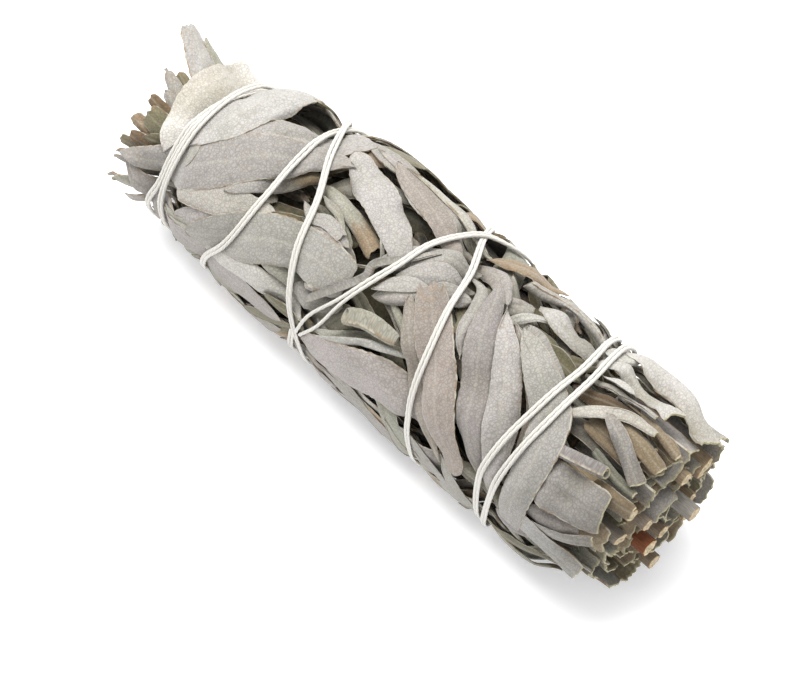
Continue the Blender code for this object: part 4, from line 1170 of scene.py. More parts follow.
def back_leaf(draw, index):
    """A leaf of the seeded cover, set out in five staggered rows over the hidden side."""
    rows = 5
    column, row = divmod(index, rows)
    count = math.ceil(BACK_LEAVES / rows)
    x = -40.0 + 78.0 * (column + 0.5 * (row % 2) + draw.uniform(-0.2, 0.2)) / count
    angle = 132.0 + 150.0 * (row + 0.5 + draw.uniform(-0.25, 0.25)) / rows
    length = draw.uniform(24.0, 36.0)
    turn = math.radians(draw.uniform(-BACK_TURN, BACK_TURN))
    bend = draw.uniform(-6.0, 6.0)
    half_x = 0.5 * length * math.cos(turn)
    half_angle = math.degrees(0.5 * length * math.sin(turn) / BUTT_RADIUS)
    start, end = max(x - half_x, -53.0), min(x + half_x, 51.0)
    points = [(start, angle - half_angle), (0.5 * (start + end), angle + bend), (end, angle + half_angle)]
    return points, draw.uniform(6.0, 8.6), 0.25, 0.3, draw.uniform(0.4, 0.8)


def flank_leaf(draw, row, index):
    """A leaf of a row along one flank: each starts where the last one is half covered."""
    x = -46.0 + 88.0 * (index + draw.uniform(0.2, 0.8)) / FLANK_LEAVES
    angle = FLANK_ROWS[row] + draw.uniform(-6.0, 6.0)
    swing = draw.uniform(-14.0, 14.0)
    length = draw.uniform(15.0, 26.0)
    start, end = max(x - 0.5 * length, -50.0), min(x + 0.5 * length, 51.0)
    points = [(start, angle - swing), (0.5 * (start + end), angle + draw.uniform(-4.0, 4.0)),
              (end, angle + swing)]
    return points, draw.uniform(4.0, 6.6), 0.3, 0.35, draw.uniform(0.3, 0.7)


back = []
for index in range(BACK_LEAVES):
    points, width, start, end, crown = back_leaf(draw, index)
    back.append(lay_leaf(grid, detail, points, width, start, end, crown, BACK_TINTS[index % 7],
                         fold=FOLDED_BY if index % 4 == 1 else 0.0, age=0.2, seen=False))
flanks = []
for row in range(len(FLANK_ROWS)):
    for index in range(FLANK_LEAVES):
        points, width, start, end, crown = flank_leaf(detail, row, index)
        tint = BACK_TINTS[int(detail.integers(7))]
        flanks.append(lay_leaf(grid, detail, points, width, start, end, crown, tint, age=0.15, seen=False,
                               lowest=FLANK_LOWEST))
mesh_piece("leaves_far_side", back, LEAF)
mesh_piece("leaves_flanks", flanks, LEAF)

# %% [markdown]
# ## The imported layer
# Under the leaves that show lies one more layer, seen in slivers between them. Only its slant
# matters: it follows the leaves above, back at the tip and on at the middle. The hollows of the
# real bundle are kept open, so a leaf is left out where its line would cross one.

# %% Leaves packed under the ones that show
PACKING_LEAVES = 110
# painted shade: the packed layer under the leaves that show is darkened a little
PACKING_PAINTED_SHADE = 0.9
CLEAR_OF_HOLLOWS = 3.6
PACKING_TINTS = ("olive", "green", "grey", "tan", "mauve", "grey", "olive", "green")


def packing_leaf(draw, index):
    """A leaf of the layer under the laid ones, slanting as those do: back at the tip, on at the middle."""
    x = -46.0 + 92.0 * ((index * 0.618) % 1.0)
    angle = -104.0 + 236.0 * (index + 0.5) / PACKING_LEAVES
    slant = np.interp(x, [-30.0, -8.0, 8.0, 28.0, 40.0], [-34.0, -30.0, 40.0, 46.0, 0.0])
    turn = math.radians(slant + draw.uniform(-22.0, 22.0))
    length = draw.uniform(12.0, 22.0)
    half_x = 0.5 * length * math.cos(turn)
    half_angle = math.degrees(0.5 * length * math.sin(turn) / BUTT_RADIUS)
    start, end = max(x - half_x, -50.0), min(x + half_x, 49.5)
    points = [(start, angle - half_angle), (0.5 * (start + end), angle + draw.uniform(-4.0, 4.0)),
              (end, angle + half_angle)]
    return points, draw.uniform(2.8, 5.0), 0.35, 0.4, draw.uniform(0.3, 0.8)


packing = []
for index in range(PACKING_LEAVES):
    points, width, start, end, crown = packing_leaf(detail, index)
    line = smooth_points(points, 7)
    clear = min(np.hypot(line[:, 0] - x, MM_PER_DEGREE * (line[:, 1] - angle)).min() for x, angle in HOLLOWS)
    if clear > CLEAR_OF_HOLLOWS:
        tint = PACKING_TINTS[int(detail.integers(8))]
        leaf = lay_leaf(grid, detail, points, width, start, end, crown, tint, age=0.2, seen=False,
                        columns=13, lowest=FLANK_LOWEST)
        # painted shade of the layers above
        leaf[2]["tint"] = leaf[2]["tint"] * PACKING_PAINTED_SHADE
        packing.append(leaf)
mesh_piece("leaves_packed", packing, LEAF)

# %% [markdown]
# ## The leaves that show
# The near side is laid leaf by leaf, in four layers with the lowest first. Chance would give a
# bundle like this one, but not this one: the broad leaves that cross at the tip, the torn pair in
# the middle, the rolled straps at the butt. Each leaf is a few places of its middle line and what
# is special to it.

# %% The two lower layers
# places of the middle line, width, its share left at the start and the end, crown, tint, the rest
DEEP_LEAVES = [
    ([(-16, -76), (-8, -74), (3, -76)], 5.4, 0.4, 0.4, 0.3, "grey", dict(seen=False)),
    ([(-27, -70), (-18, -68), (-8, -70)], 5.0, 0.4, 0.4, 0.3, "grey", dict(seen=False)),
    ([(-18, -66), (-9, -65), (0, -66)], 4.6, 0.4, 0.4, 0.3, "grey", {}),
    ([(36, -54), (43, -57), (49, -55)], 4.6, 0.4, 0.6, 0.3, "grey", {}),
    ([(-53, 95), (-49, 107), (-43, 110), (-26, 110), (-13, 112)], 6.4, 0.4, 0.4, 0.4, "mauve", {}),
    ([(-43, 103), (-36, 87), (-29, 79), (-24, 75)], 2.2, 0.5, 0.3, 0.5, "cream", {}),
    ([(-42, 97), (-37, 83), (-31, 74), (-25, 67)], 2.0, 0.5, 0.3, 0.5, "green", {}),
    ([(-38, 82), (-31, 62), (-24, 48)], 3.8, 0.3, 0.3, 0.5, "mauve", {}),
    ([(-31, 96), (-22, 78), (-15, 79), (-9, 82)], 4.8, 0.5, 0.3, 0.5, "pale", {}),
    ([(-21, 60), (-15, 61), (-10, 72)], 3.6, 0.5, 0.5, 0.4, "green", {}),
    ([(-17, 84), (-11.5, 88), (-8, 96)], 2.8, 0.5, 0.6, 0.4, "olive", {}),
    ([(-13, 62), (-9, 63), (-4, 55)], 4.2, 0.5, 0.5, 0.4, "mauve", {}),
    ([(-20, -4), (-16, -1.7), (-11.2, 1.8), (-6, 5.5)], 2.0, 0.6, 0.6, 0.3, "olive", {}),
    ([(-18.5, 10.5), (-15, 15), (-12.5, 19)], 1.8, 0.6, 0.6, 0.3, "green", {}),
    ([(-16.5, 5), (-13, 12.6), (-10.8, 16.1), (-8.4, 20)], 2.1, 0.6, 0.5, 0.3, "green", {}),
    ([(-17, 33), (-11, 26), (-6, 30)], 4.6, 0.4, 0.5, 0.4, "grey", {}),
    ([(-18, 26), (-14, 21.4), (-11, 20.2), (-8, 21.5)], 2.4, 0.5, 0.5, 0.5, "mauve", {}),
    ([(-15, 30), (-11.8, 26), (-8, 25)], 2.2, 0.5, 0.5, 0.4, "mauve", {}),
    ([(-21, -63), (-15, -63), (-8, -62)], 4.4, 0.5, 0.5, 0.5, "grey", {}),
    ([(-11, -46), (-6, -57), (0, -58), (6, -62)], 4.0, 0.4, 0.4, 0.5, "green", {}),
    ([(-18, -52), (-11, -56), (-5, -49), (0, -54), (5, -60)], 3.4, 0.4, 0.4, 0.5, "mauve", {}),
    ([(-11, -37), (-5.5, -31), (0, -32), (7, -41)], 4.8, 0.3, 0.3, 0.6, "grey", {}),
    ([(-5, -10), (-1, -5.8), (2, -5)], 3.4, 0.5, 0.4, 0.4, "grey", {}),
    ([(-2, 27), (1, 17), (5, 11)], 2.2, 0.6, 0.5, 0.2, "brown", {}),
    ([(0, 30), (4.5, 35), (9, 45)], 2.1, 0.5, 0.5, 0.5, "grey", {}),
    ([(2, 28), (6, 35), (10.5, 44)], 1.9, 0.5, 0.5, 0.5, "green", {}),
    ([(-7, 81), (-1, 66), (2.5, 58), (10.5, 47)], 2.0, 0.4, 0.5, 0.4, "green", {}),
    ([(-6, 84), (0, 66), (5, 55), (11, 48)], 1.8, 0.4, 0.5, 0.4, "pale", {}),
    ([(11, 5), (14, 10), (14.5, 20)], 3.0, 0.6, 0.5, 0.3, "olive", {}),
    ([(15, -13), (18, -21), (19.5, -27)], 3.8, 0.6, 0.6, 0.4, "grey", {}),
    ([(29, -9), (31, -21), (32.5, -32)], 2.8, 0.6, 0.6, 0.3, "olive", {}),
    ([(22, -13), (25, -15), (28, -11)], 2.8, 0.5, 0.5, 0.3, "olive", {}),
    ([(25, -8), (29, -8), (33, -11)], 3.4, 0.4, 0.4, -0.2, "olive", {}),
    ([(19, -64), (25, -60), (31, -55)], 3.4, 0.4, 0.4, 0.5, "green", {}),
    ([(34, -64), (38.5, -63), (46, -63)], 4.6, 0.5, 0.8, 0.4, "grey", {}),
    ([(35, 16), (40, 14), (44.5, 16)], 3.4, 0.6, 0.7, -0.2, "dusk", {}),
    ([(39, 9), (44, 9), (49, 10.5)], 4.2, 0.7, 0.9, 0.2, "tan", {}),
    ([(33, -3.5), (38.2, -7.7), (44, -12)], 3.4, 0.5, 0.6, 0.3, "brown", {}),
    ([(37, 72), (43, 71), (48, 63)], 5.0, 0.6, 0.9, 0.3, "tan", {}),
    ([(46, -12), (50, -12), (53, -8)], 2.6, 0.7, 0.9, 0.3, "tan", {}),
    ([(42, -1), (47, 1.4), (52.5, 4.4)], 4.0, 0.6, 0.9, 0.8, "tan", dict(curl=1.2)),
    ([(34, 111), (38.5, 112), (43, 90)], 3.0, 0.5, 0.5, 0.4, "mauve", {}),
    ([(43, 20), (48, 23.9), (52, 24.6)], 2.4, 0.8, 0.9, 0.6, "green", dict(curl=1.4)),
    ([(46, 34), (50, 34.2), (53.5, 33)], 3.4, 0.8, 0.9, 0.5, "tan", {}),
]
MIDDLE_LEAVES = [
    ([(-19.5, -2), (-15, 3.5), (-11, 6.4), (-8, 9.5), (-5, 14)], 3.2, 0.4, 1.15, 0.5, "green",
     dict(end_tint="tan", torn=(0.1, 0.7), rise=(0.0, 0.5))),
    ([(-18, 6), (-16, 9), (-13, 11.4), (-9.8, 18)], 1.7, 0.5, 0.5, 0.5, "green", dict(age=0.3)),
    ([(-20, 16), (-17, 21), (-13.5, 18.5), (-9.8, 20)],
     2.6, 0.4, 0.9, 0.5, "mauve", dict(torn=(0.1, 0.6))),
    ([(-7.5, 0), (-5, 6), (-3.2, 14), (-4, 22), (-7, 29)], 1.4, 0.6, 0.6, 0.7, "cream", dict(lift=0.3)),
    ([(-14, -62), (-10, -41), (-5, -33), (1, -26), (6, -19)], 4.8, 0.4, 0.5, 0.6, "rose", {}),
    ([(-12, -60), (-5.4, -57), (3, -49.6), (8, -44)], 2.4, 0.4, 0.4, 0.6, "cream", {}),
    ([(8, -33), (12, -27), (14.5, -19), (17, -12)], 3.4, 0.8, 0.4, 0.5, "mauve", dict(torn=(0.6, 0.1))),
    ([(-3, 18), (2, -5), (10, -23)], 4.6, 0.4, 0.3, 0.7, "grey", {}),
    ([(0.5, 16), (4, 6), (7, -1), (11.5, -10)], 4.8, 0.3, 0.2, 0.7, "mauve", {}),
    ([(-1, 35), (3, 24), (5, 18), (7.5, 10)], 4.0, 0.3, 0.25, 0.6, "grey", {}),
    ([(-1, 31), (2, 19.9), (7, 10)], 3.2, 0.25, 0.25, 0.6, "mauve", {}),
    ([(7, 13), (9.5, 4), (12.5, -1)], 3.8, 0.4, 0.3, 0.5, "grey", {}),
    ([(-2.5, 54), (2, 46), (8, 43)],
     3.6, 0.9, 0.7, 0.5, "green", dict(roll=1.2, mouth=(2.0, 0.0), rise=(1.2, 0.0), age=0.4)),
    ([(-11, 51), (-5.5, 46.5)],
     3.1, 0.95, 0.9, 0.5, "grey", dict(roll=1.6, mouth=(1.4, 0.0), rise=(1.2, 0.0))),
    ([(-43, 78), (-37, 58), (-30, 48), (-22, 33)], 6.0, 0.45, 0.35, 1.0, "cream",
     dict(curl=1.1, rise=(0.9, 0.0))),
    ([(-31, 42), (-26.5, 19), (-24, 4), (-20.5, -12)],
     4.8, 0.4, 0.3, 0.6, "mauve", dict(end_tint="tan")),
    ([(18.5, -4), (20.5, -14), (23.5, -25)], 2.8, 0.7, 0.6, 0.9, "pale", dict(curl=1.6)),
    ([(19.5, -33), (24, -28), (28, -29), (31, -37)], 5.2, 0.4, 1.0, 0.4, "pale", dict(torn=(0.1, 0.3))),
    ([(15, -38), (20.5, -43), (25.5, -44), (32, -45)],
     2.6, 0.9, 0.7, 0.5, "grey", dict(roll=1.3, mouth=(1.2, 0.0))),
    ([(8, -37), (12.5, -51), (16, -63), (20, -64)],
     4.4, 0.3, 0.5, 0.4, "tan", dict(age=0.5, ragged=0.1)),
    ([(33, -31), (34, -46), (36, -65)], 3.6, 0.5, 0.5, 0.5, "pale", {}),
    ([(35, 10), (38, 3.5), (41, -2.2), (44, -6)], 2.2, 0.4, 0.5, 0.5, "grey", {}),
    ([(44, -13.5), (49, -10.6), (53, -7)], 2.3, 0.7, 0.9, 0.8, "tan", dict(curl=1.6)),
    ([(37, 59.6), (42, 53.8), (45.5, 51.5)], 3.2, 0.5, 0.5, 0.4, "mauve", {}),
    ([(38, 75), (43, 68.2), (48.5, 60)], 3.8, 0.5, 0.7, 0.4, "mauve", {}),
    ([(38, 85), (44, 76), (51, 61)], 2.6, 0.5, 0.9, 0.4, "grey", {}),
    ([(35, 86), (41, 88), (46, 91), (50.5, 95)],
     5.6, 0.5, 1.2, 0.4, "pale", dict(torn=(0.1, 0.2), rise=(0.0, 0.8))),
    ([(36, 24.5), (39, 28.5), (41, 35)], 1.8, 0.5, 0.5, 0.6, "grey", {}),
]
print("laid by hand below:", len(DEEP_LEAVES) + len(MIDDLE_LEAVES), "leaves")

# %% [markdown]
# ## The two upper layers
# These are the leaves the eye follows. They are broader than those below, and they lie across them,
# so they come last and rest on all the others. A stiff leaf bridges the hollows on its way, which
# is what keeps the gaps between the leaves open and dark.

# %% The two upper layers
UPPER_LEAVES = [
    ([(-38, 24), (-31, -3), (-26.5, -22), (-22.5, -38), (-21.5, -62)],
     7.6, 0.3, 0.9, 0.5, "mauve", dict(crease=0.04)),
    ([(-20, -30), (-13, -17), (-8, -9), (-4, -1.4), (0.5, 10)], 6.2, 0.5, 0.5, 0.6, "silver", {}),
    ([(-35, 91), (-25, 60), (-18, 44), (-11, 38), (-4.5, 37)],
     8.2, 0.35, 0.85, 0.5, "grey", dict(torn=(0.1, 0.3))),
    ([(-9, 61), (-5, 40.9), (-3, 28), (-3, 19.2), (-0.2, 6.8), (3.2, -11)], 1.6, 0.95, 0.9, 0.5, "grey",
     dict(roll=1.2, lift=-0.3)),
    ([(8.5, -15), (12, -11), (14, 2), (15, 16), (17.5, 29)], 2.8, 0.4, 0.4, 0.7, "grey", {}),
    ([(13, -21), (15, -10.5), (18, 11.3), (22, 33.6), (25, 55.5), (30, 88)],
     6.0, 0.25, 0.4, 0.7, "dusk", {}),
    ([(21.5, -6), (24.5, -7), (28, -2), (33, 3)], 2.4, 0.95, 0.6, 0.5, "grey",
     dict(roll=1.3, mouth=(1.2, 0.0), rise=(0.8, 0.0))),
    ([(20, -6), (26.5, 8.5), (31, 24.5), (33, 48.3), (35, 72)], 2.6, 0.4, 0.3, 0.6, "rose", {}),
    ([(21, -4), (27, 3), (32, 14)], 1.9, 0.4, 0.4, 0.6, "pale", {}),
    ([(32, -33), (35, -41.3), (36.5, -58)], 3.8, 0.4, 0.6, 0.5, "pale", dict(ragged=0.08)),
    ([(33, -14.5), (37, -16.3), (40, -15.7), (46.5, -14.4)], 2.4, 0.7, 0.9, 0.8, "grey", dict(curl=2.0)),
    ([(35, -19.5), (38, -19.9), (41.5, -17)], 2.7, 0.3, 0.4, 0.6, "pale", {}),
    ([(33, 20), (38, 8.6), (41, 1.8), (44, -3.8), (48.5, -6.3)],
     3.0, 0.4, 0.8, 0.9, "cream", dict(curl=1.6)),
    ([(41, 2), (45, 7.2), (48, 12.3), (51.5, 19)], 2.8, 0.6, 1.2, 0.4, "mauve", {}),
    ([(38.5, 32), (43, 28.5), (47.5, 25)],
     2.5, 0.9, 0.95, 0.5, "mauve", dict(roll=1.3, mouth=(0.0, 0.6))),
    ([(35, 50), (41, 48), (46, 46), (50.5, 43.5)],
     7.6, 0.85, 1.0, 0.4, "mauve", dict(curl=0.3, torn=(0.1, 0.1))),
    ([(34, -47), (39, -49), (44, -51), (49, -46), (54, -37)], 5.6, 0.5, 1.15, 0.8, "pale",
     dict(crease=0.14, torn=(0.1, 0.4), rise=(0.0, 0.5))),
    ([(33, -24), (37, -31), (41, -30), (44, -27.5), (48, -21.5)], 2.9, 0.7, 1.75, 0.5, "pale",
     dict(crease=0.06, torn=(0.1, 0.6), rise=(0.0, 0.8))),
]
TOP_LEAVES = [
    ([(-53.5, 96), (-44, 59), (-36, 36), (-30, 14), (-26, -1), (-22.5, -13), (-17, -19)],
     8.4, 0.12, 0.2, 0.6,
     "mauve", {}),
    ([(-42.5, 24), (-40.5, 33), (-39.5, 47)], 3.0, 0.7, 0.45, 0.6, "grey", {}),
    # the outermost tip leaf, whose white tint is painted light for the light it lacks
    ([(-44.8, 52), (-46, 26), (-46.8, 6), (-47.4, -14), (-47.6, -38)], 7.2, 0.2, 0.85, 0.4, "white", {}),
    ([(-41.6, 37), (-39.4, 16), (-38.3, 4), (-37.6, -25), (-37.4, -62)],
     9.2, 0.2, 0.75, 0.7, "pale", {}),
    ([(-8, 114), (0, 89), (7.5, 76), (13, 77.5), (19, 94)],
     9.0, 0.5, 0.45, 0.6, "mauve", dict(torn=(0.9, 0.1))),
    ([(5, 20), (10.8, 43.2), (15, 64.3), (19, 82.5), (22.3, 109)], 3.6, 0.6, 0.5, 0.5, "rose",
     dict(age=0.3, torn=(0.7, 0.1))),
    ([(6.5, 9), (12, 27.6), (17, 47.4), (21, 68.2), (24.5, 84), (25.5, 112)], 7.0, 0.7, 0.5, 0.6, "rose",
     dict(age=0.35, ragged=0.04, torn=(1.0, 0.1))),
    ([(17.5, -9), (20.5, 3), (23.5, 13), (27, 29.8), (30, 52.2), (31.5, 72), (32, 94)],
     5.6, 0.2, 0.45, 0.7, "silver", {}),
    ([(22, -5), (32, 14), (36, 30), (37, 54), (37, 92), (37, 108)], 7.2, 0.3, 0.7, 0.6, "grey", {}),
]


def laid_piece(name, leaves):
    """One piece from a list of leaves laid in order."""
    shells = [lay_leaf(grid, detail, *leaf[:6], **leaf[6]) for leaf in leaves]
    return mesh_piece(name, shells, LEAF)


laid_piece("leaves_deep", DEEP_LEAVES)
laid_piece("leaves_middle", MIDDLE_LEAVES)
laid_piece("leaves_upper", UPPER_LEAVES)
laid_piece("leaves_top", TOP_LEAVES)
highest = float((grid - RADIUS)[20:240].max())
print("highest place past the plain roll:", round(highest, 2), "mm before packing")

# %% [markdown]
# ## Stems
# A cut stem shows three things: thin bark, a pale ring of wood and a pith that is sunk or hollow.
# It could be a cylinder with three materials. Here each stem is one grid of rings, up the bark, over
# a rough cut edge and down into the pith, so the three finishes follow from how far in a ring is.

# %% Stems
# to the right and up from the axis, x of the inner and the cut end, half sizes, turn, bark colour
STEMS = [
    (-5.3, 0.7, 20, 55.5, 1.5, 1.5, 0, (0.150, 0.050, 0.020)),
    (-9.3, 5.1, 30, 52.8, 0.9, 1.7, 60, (0.210, 0.190, 0.160)),
    (-4.8, 5.5, 20, 54.2, 1.1, 1.2, 30, (0.230, 0.190, 0.150)),
    (3.5, 8.7, 26, 54.0, 1.2, 1.2, 0, (0.270, 0.215, 0.140)),
    (8.1, 6.4, 28, 54.0, 1.1, 2.0, 130, (0.260, 0.200, 0.130)),
    (3.1, 2.0, 20, 56.8, 1.3, 1.3, 20, (0.270, 0.260, 0.235)),
    (1.9, 12.1, 40, 48.6, 0.9, 1.1, 0, (0.290, 0.270, 0.210)),
    (-6.9, 9.2, 34, 52.6, 1.1, 1.5, 40, (0.300, 0.240, 0.150)),
    (6.2, -0.9, 20, 53.8, 1.0, 1.0, 0, (0.270, 0.215, 0.140)),
    (-0.2, -3.0, 20, 54.0, 1.2, 1.2, 10, (0.220, 0.175, 0.125)),
    (-2.2, -9.3, 26, 54.6, 1.3, 1.3, 0, (0.210, 0.165, 0.115)),
    (6.6, -7.0, 24, 53.4, 1.4, 1.2, 50, (0.250, 0.200, 0.130)),
]


BARK_ROWS, STEM_SIDES = 60, 48
PITH_DEPTH = 0.7
# beyond the cut end in mm, the share of the radius, and the zone from bark (0) to pith (1)
CUT_RINGS = np.array([(0.0, 0.97, 0.1), (0.02, 0.88, 0.3), (-0.02, 0.72, 0.5), (0.03, 0.55, 0.6),
                      (-0.06, 0.46, 0.8), (-0.5, 0.38, 0.95), (-PITH_DEPTH, 0.2, 1.0),
                      (-PITH_DEPTH, 0.01, 1.0)])


def stem_shell(draw, spec):
    """Rings of an ellipse: scale and x of each ring follow the bark, the cut and the sunk pith."""
    right, up, start, end, half_wide, half_long, turn, bark = spec
    along = np.concatenate([np.linspace(start, end - 0.12, BARK_ROWS), end + CUT_RINGS[:, 0]])
    scale = np.concatenate([np.ones(BARK_ROWS), CUT_RINGS[:, 1]])
    scale[0] = 0.01
    zone = np.concatenate([np.zeros(BARK_ROWS), CUT_RINGS[:, 2]])
    theta = np.linspace(0.0, 2.0 * np.pi, STEM_SIDES + 1)[None, :]
    lumps = 1.0 + 0.05 * np.sin(3.0 * theta + draw.uniform(0, 6))
    lumps = lumps + 0.03 * np.sin(7.0 * theta + draw.uniform(0, 6))
    ridges = 1.0 + 0.02 * np.sin(theta * 13.0 + 0.7 * along[:, None])
    a = half_wide * scale[:, None] * lumps * ridges * np.cos(theta)
    b = half_long * scale[:, None] * lumps * ridges * np.sin(theta)
    swing = math.radians(turn)
    y = right + a * math.cos(swing) - b * math.sin(swing)
    z = up + a * math.sin(swing) + b * math.cos(swing)
    rough = np.where(zone[:, None] > 0.2, 0.10, 0.0) * np.sin(theta * 5.0 + draw.uniform(0, 6))
    x = along[:, None] + rough * scale[:, None]
    world = to_world(x, np.degrees(np.arctan2(-y, z)), np.hypot(y, z))
    middle = to_world(along, np.degrees(np.arctan2(-right, up)) * np.ones_like(along),
                      math.hypot(right, up) * np.ones_like(along))[:, None, :]
    full = np.ones(world.shape[:2])
    facts = {
        "tint": full[:, :, None] * np.array(bark) * draw.uniform(0.92, 1.08),
        "map": np.stack([along[:, None] * full, theta * half_long * full], axis=-1),
        "zone": zone[:, None] * full,
    }
    return shell(world, world - middle, 0.01, facts)


print("stems:", len(STEMS), "of", BARK_ROWS + len(CUT_RINGS), "rings each")

# %% [markdown]
# ## The stems' finish
# Sage bark is thin and grey brown with fine grain along the stem, the wood is cream with a browner
# rim where the knife bruised it, and the pith is pale and spongy. Three materials would need three
# sets of faces. One material that reads the ring's zone changes from one to the next in a hair's
# width, and the grain comes from a noise stretched along the stem.

# %% The stems' finish
BARK_SHADE = (0.70, 0.66, 0.62, 1.0)
RIM_BROWN, RIM_TAN = (0.24, 0.14, 0.07, 1.0), (0.40, 0.28, 0.15, 1.0)
WOOD_PALE, WOOD_TAN = (0.60, 0.50, 0.34, 1.0), (0.42, 0.33, 0.20, 1.0)
PITH_PALE, PITH_TAN = (0.72, 0.68, 0.56, 1.0), (0.52, 0.46, 0.34, 1.0)


def stem_material():
    """Bark, wood and pith by the ring's zone, with grain along the stem."""
    material, tree, shader = new_material("sage_stem", 0.8, 0.3)
    stretch = add_node(tree, "ShaderNodeMapping")
    stretch.inputs["Scale"].default_value = (0.35, 3.0, 1.0)
    tree.links.new(add_node(tree, "ShaderNodeUVMap", uv_map="map").outputs[0], stretch.inputs["Vector"])
    grain = noise(tree, stretch.outputs[0], 2.2, 5.0).outputs["Fac"]
    place = add_node(tree, "ShaderNodeTexCoord").outputs["Object"]
    speck = noise(tree, place, 1900.0, 3.0).outputs["Fac"]
    tint = attribute(tree, "tint", "Color")
    zone = attribute(tree, "zone")
    dark_bark = mixed(tree, 1.0, tint, BARK_SHADE, "MULTIPLY")
    colour = mixed(tree, ramped(tree, grain, 0.4, 0.62), tint, dark_bark)
    rim = mixed(tree, ramped(tree, speck, 0.35, 0.6), RIM_BROWN, RIM_TAN)
    wood = mixed(tree, ramped(tree, speck, 0.35, 0.6), WOOD_PALE, WOOD_TAN)
    pith = mixed(tree, ramped(tree, speck, 0.4, 0.6), PITH_PALE, PITH_TAN)
    colour = mixed(tree, ramped(tree, zone, 0.04, 0.10), colour, rim)
    colour = mixed(tree, ramped(tree, zone, 0.18, 0.32), colour, wood)
    colour = mixed(tree, ramped(tree, zone, 0.72, 0.85), colour, pith)
    tree.links.new(colour, shader.inputs["Base Color"])
    height = joined(tree, grain, joined(tree, speck, 0.5), "ADD")
    add_relief(tree, shader, height, 0.7, 0.00015)
    return material


stems = mesh_piece("stems", [stem_shell(detail, spec) for spec in STEMS], stem_material())
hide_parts(*[f"stem_{number:02d}" for number in range(1, len(STEMS) + 1)])

# %% [markdown]
# ## A taut line
# The string is wound tight, so it spans the hollows between the leaves and rides over its own
# earlier turns. A cord simulation could pull it tight. The same line comes from letting each point
# rise to its neighbours' average a few dozen times, never below what it lies on, and it can't pass
# the floor under the belly.

# %% The taut line
STRAND_RADIUS = 0.29
FLOOR_GAP = 0.35
ROUTE_STEP = 1.5
TIGHTENINGS = 60


def taut_line():
    """The string's height over the bundle, turn after turn, over leaves and over earlier turns."""
    x, angle = route_samples(ROUTE_STEP)
    level = packed_radius(*np.meshgrid(GRID_X, GRID_ANGLE, indexing="ij"), grid)
    out = np.zeros(len(x))
    near = np.linspace(-0.9, 0.9, 7)
    highest = AXIS_HEIGHT - FLOOR_GAP - STRAND_RADIUS + x * math.sin(TILT)
    down = -np.cos(np.radians(angle)) * math.cos(TILT)
    limit = np.where(down > 0.2, highest / np.maximum(down, 0.2), 99.0)
    half_turn = int(180.0 / ROUTE_STEP)
    laid = 0
    for first in range(0, len(x), half_turn):
        here = slice(first, min(first + half_turn, len(x)))
        samples = [read_grid(level, x[here] + shift, angle[here]) for shift in near]
        out[here] = np.minimum(np.max(samples, axis=0) + STRAND_RADIUS, limit[here])
        before = slice(laid, first)
        for shift in (-0.7, -0.35, 0.0, 0.35, 0.7):
            rows = np.round((x[before] + shift - GRID_X[0]) / GRID_STEP).astype(int)
            columns = np.round((angle[before] % 360.0) / GRID_TURN).astype(int) % len(GRID_ANGLE)
            np.maximum.at(level, (rows, columns), out[before] + STRAND_RADIUS)
        laid = first
    for _ in range(TIGHTENINGS):
        padded = np.pad(out, 2, mode="edge")
        smooth = 0.25 * (padded[:-4] + padded[1:-3] + padded[3:-1] + padded[4:])
        out = np.minimum(np.maximum(out, smooth), limit)
    return x, angle, out


line_x, line_angle, line_out = taut_line()
line = to_world(line_x, line_angle, line_out)
print("string as it lies:", round(float(np.linalg.norm(np.diff(line, axis=0), axis=1).sum())), "mm")

# %% [markdown]
# ## Twisted strands
# Thin cotton is three plies twisted together, and here two such strands lie side by side. Modelling
# each ply as a tube of its own would triple the faces of the thinnest thing in the scene. One tube
# whose section has three lobes that turn along it looks the same.

# %% Twisted strands
STRAND_APART = 0.28
PLY_PITCH = 1.5
PLY_RELIEF = 0.09
RING_SPACING = 0.34
STRAND_SIDES = 12


def strand(x, angle, out, side_shift, out_shift, phase):
    """A tube along the taut line; its radius is r * (1 + PLY_RELIEF * cos(3 * turned angle))."""
    centre = to_world(x, angle, out + out_shift)
    along = np.gradient(centre, axis=0)
    along /= np.linalg.norm(along, axis=1)[:, None]
    outward = to_world(x, angle, out + out_shift + 1.0) - centre
    side = np.cross(along, outward)
    side /= np.linalg.norm(side, axis=1)[:, None]
    outward = np.cross(side, along)
    centre = centre + side * side_shift[:, None]
    length = np.concatenate([[0.0], np.cumsum(np.linalg.norm(np.diff(centre, axis=0), axis=1))])
    even = np.linspace(0.0, length[-1], int(length[-1] / RING_SPACING))
    centre, side, outward = (np.stack([np.interp(even, length, rows[:, k]) for k in range(3)], axis=1)
                             for rows in (centre, side, outward))
    theta = np.linspace(0.0, 2.0 * np.pi, STRAND_SIDES + 1)[None, :]
    turned = 3.0 * (theta - 2.0 * np.pi * even[:, None] / (3.0 * PLY_PITCH)) + phase
    radius = STRAND_RADIUS * (1.0 + PLY_RELIEF * np.cos(turned))
    radius[0] = 0.01
    radius[-1] = 0.01
    ring = (side[:, None, :] * (radius * np.cos(theta))[:, :, None]
            + outward[:, None, :] * (radius * np.sin(theta))[:, :, None])
    flat = np.stack([even[:, None] * np.ones_like(theta),
                     theta * STRAND_RADIUS * np.ones((len(even), 1))], axis=-1)
    return tube(centre[:, None, :] + ring, {"map": flat, "ply": np.cos(turned)})


def tube(points, facts):
    """A closed tube from rings whose last column repeats the first; the seam is shared."""
    rows, columns = points.shape[:2]
    columns -= 1
    index = np.arange(rows * columns).reshape(rows, columns)
    ahead = np.roll(index, -1, axis=1)
    faces = np.stack([index[:-1], ahead[:-1], ahead[1:], index[1:]], axis=-1).reshape(-1, 4)
    flat = {name: value[:, :-1].reshape(rows * columns, -1) for name, value in facts.items()}
    return settled(points[:, :-1].reshape(-1, 3)), faces[:, ::-1], flat


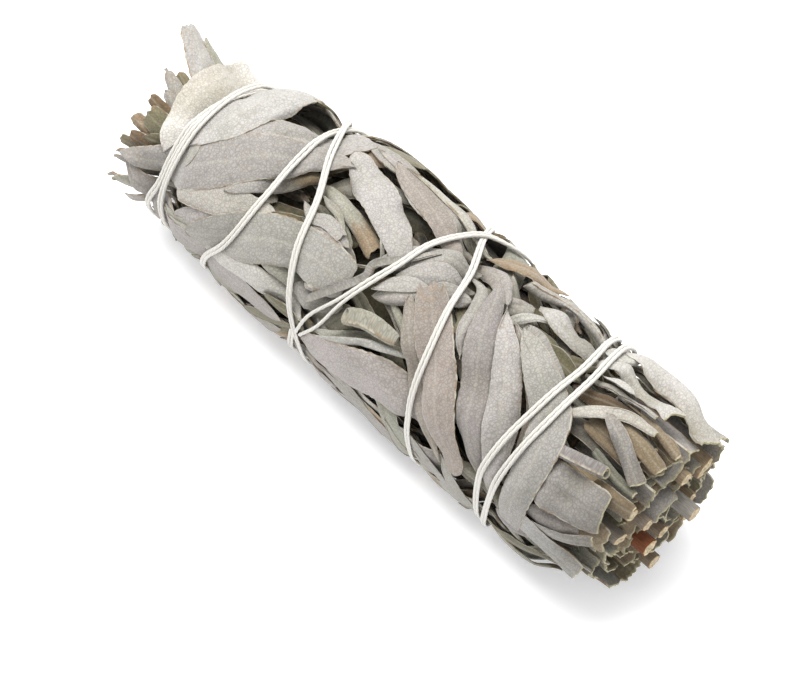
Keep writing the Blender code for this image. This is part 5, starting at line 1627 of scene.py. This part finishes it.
print("a strand", 2 * STRAND_RADIUS, "mm thick makes a full turn of its plies in", 3.0 * PLY_PITCH, "mm")

# %% [markdown]
# ## The string's finish and its piece
# Undyed cotton is off-white and matt, with fine fibres that slant round the strand. Between the plies
# it is darkened with painted shade. The ply's height is kept on each point, so the painted shade
# follows the twist exactly, and a noise stretched and slanted on the string's own map gives the fibres.

# %% The string's finish and its piece
# the first colour is cotton in painted shade between the plies, the second its own colour
COTTON_IN_PLY_SHADE, COTTON_HIGH = (0.47, 0.455, 0.42, 1.0), (0.60, 0.585, 0.55, 1.0)
FIBRE_SHADE = (0.86, 0.85, 0.82, 1.0)
KNOT_TURN, KNOT_PARTED = 2948.0, 0.75


def cotton_material():
    """Undyed cotton with painted shade between the plies, and fine fibres running round the strand."""
    material, tree, shader = new_material("cotton_string", 0.9, 0.2)
    shader.inputs["Sheen Weight"].default_value = 0.35
    slant = add_node(tree, "ShaderNodeMapping")
    slant.inputs["Rotation"].default_value = (0.0, 0.0, 0.9)
    slant.inputs["Scale"].default_value = (1.0, 9.0, 1.0)
    tree.links.new(add_node(tree, "ShaderNodeUVMap", uv_map="map").outputs[0], slant.inputs["Vector"])
    fibre = noise(tree, slant.outputs[0], 2.4, 4.0).outputs["Fac"]
    # painted shade between the plies, by the ply's height
    colour = mixed(tree, ramped(tree, attribute(tree, "ply"), -1.0, 0.4), COTTON_IN_PLY_SHADE, COTTON_HIGH)
    darker = mixed(tree, 1.0, colour, FIBRE_SHADE, "MULTIPLY")
    colour = mixed(tree, ramped(tree, fibre, 0.4, 0.65), colour, darker)
    tree.links.new(colour, shader.inputs["Base Color"])
    add_relief(tree, shader, fibre, 0.5, 0.00006)
    return material


slow = 0.10 * waves(detail, line_angle, 50.0, 160.0)
parted = KNOT_PARTED * np.exp(-((line_angle - KNOT_TURN) / 16.0) ** 2)
apart = STRAND_APART + 0.06 * waves(detail, line_angle, 30.0, 90.0) + parted
first = strand(line_x, line_angle, line_out, slow + apart, 0.03 * waves(detail, line_angle, 20, 60), 0.0)
second = strand(line_x, line_angle, line_out, slow - apart, 0.03 * waves(detail, line_angle, 20, 60), 1.3)
string_piece = mesh_piece("string_pair", [first, second], cotton_material())
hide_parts("string")
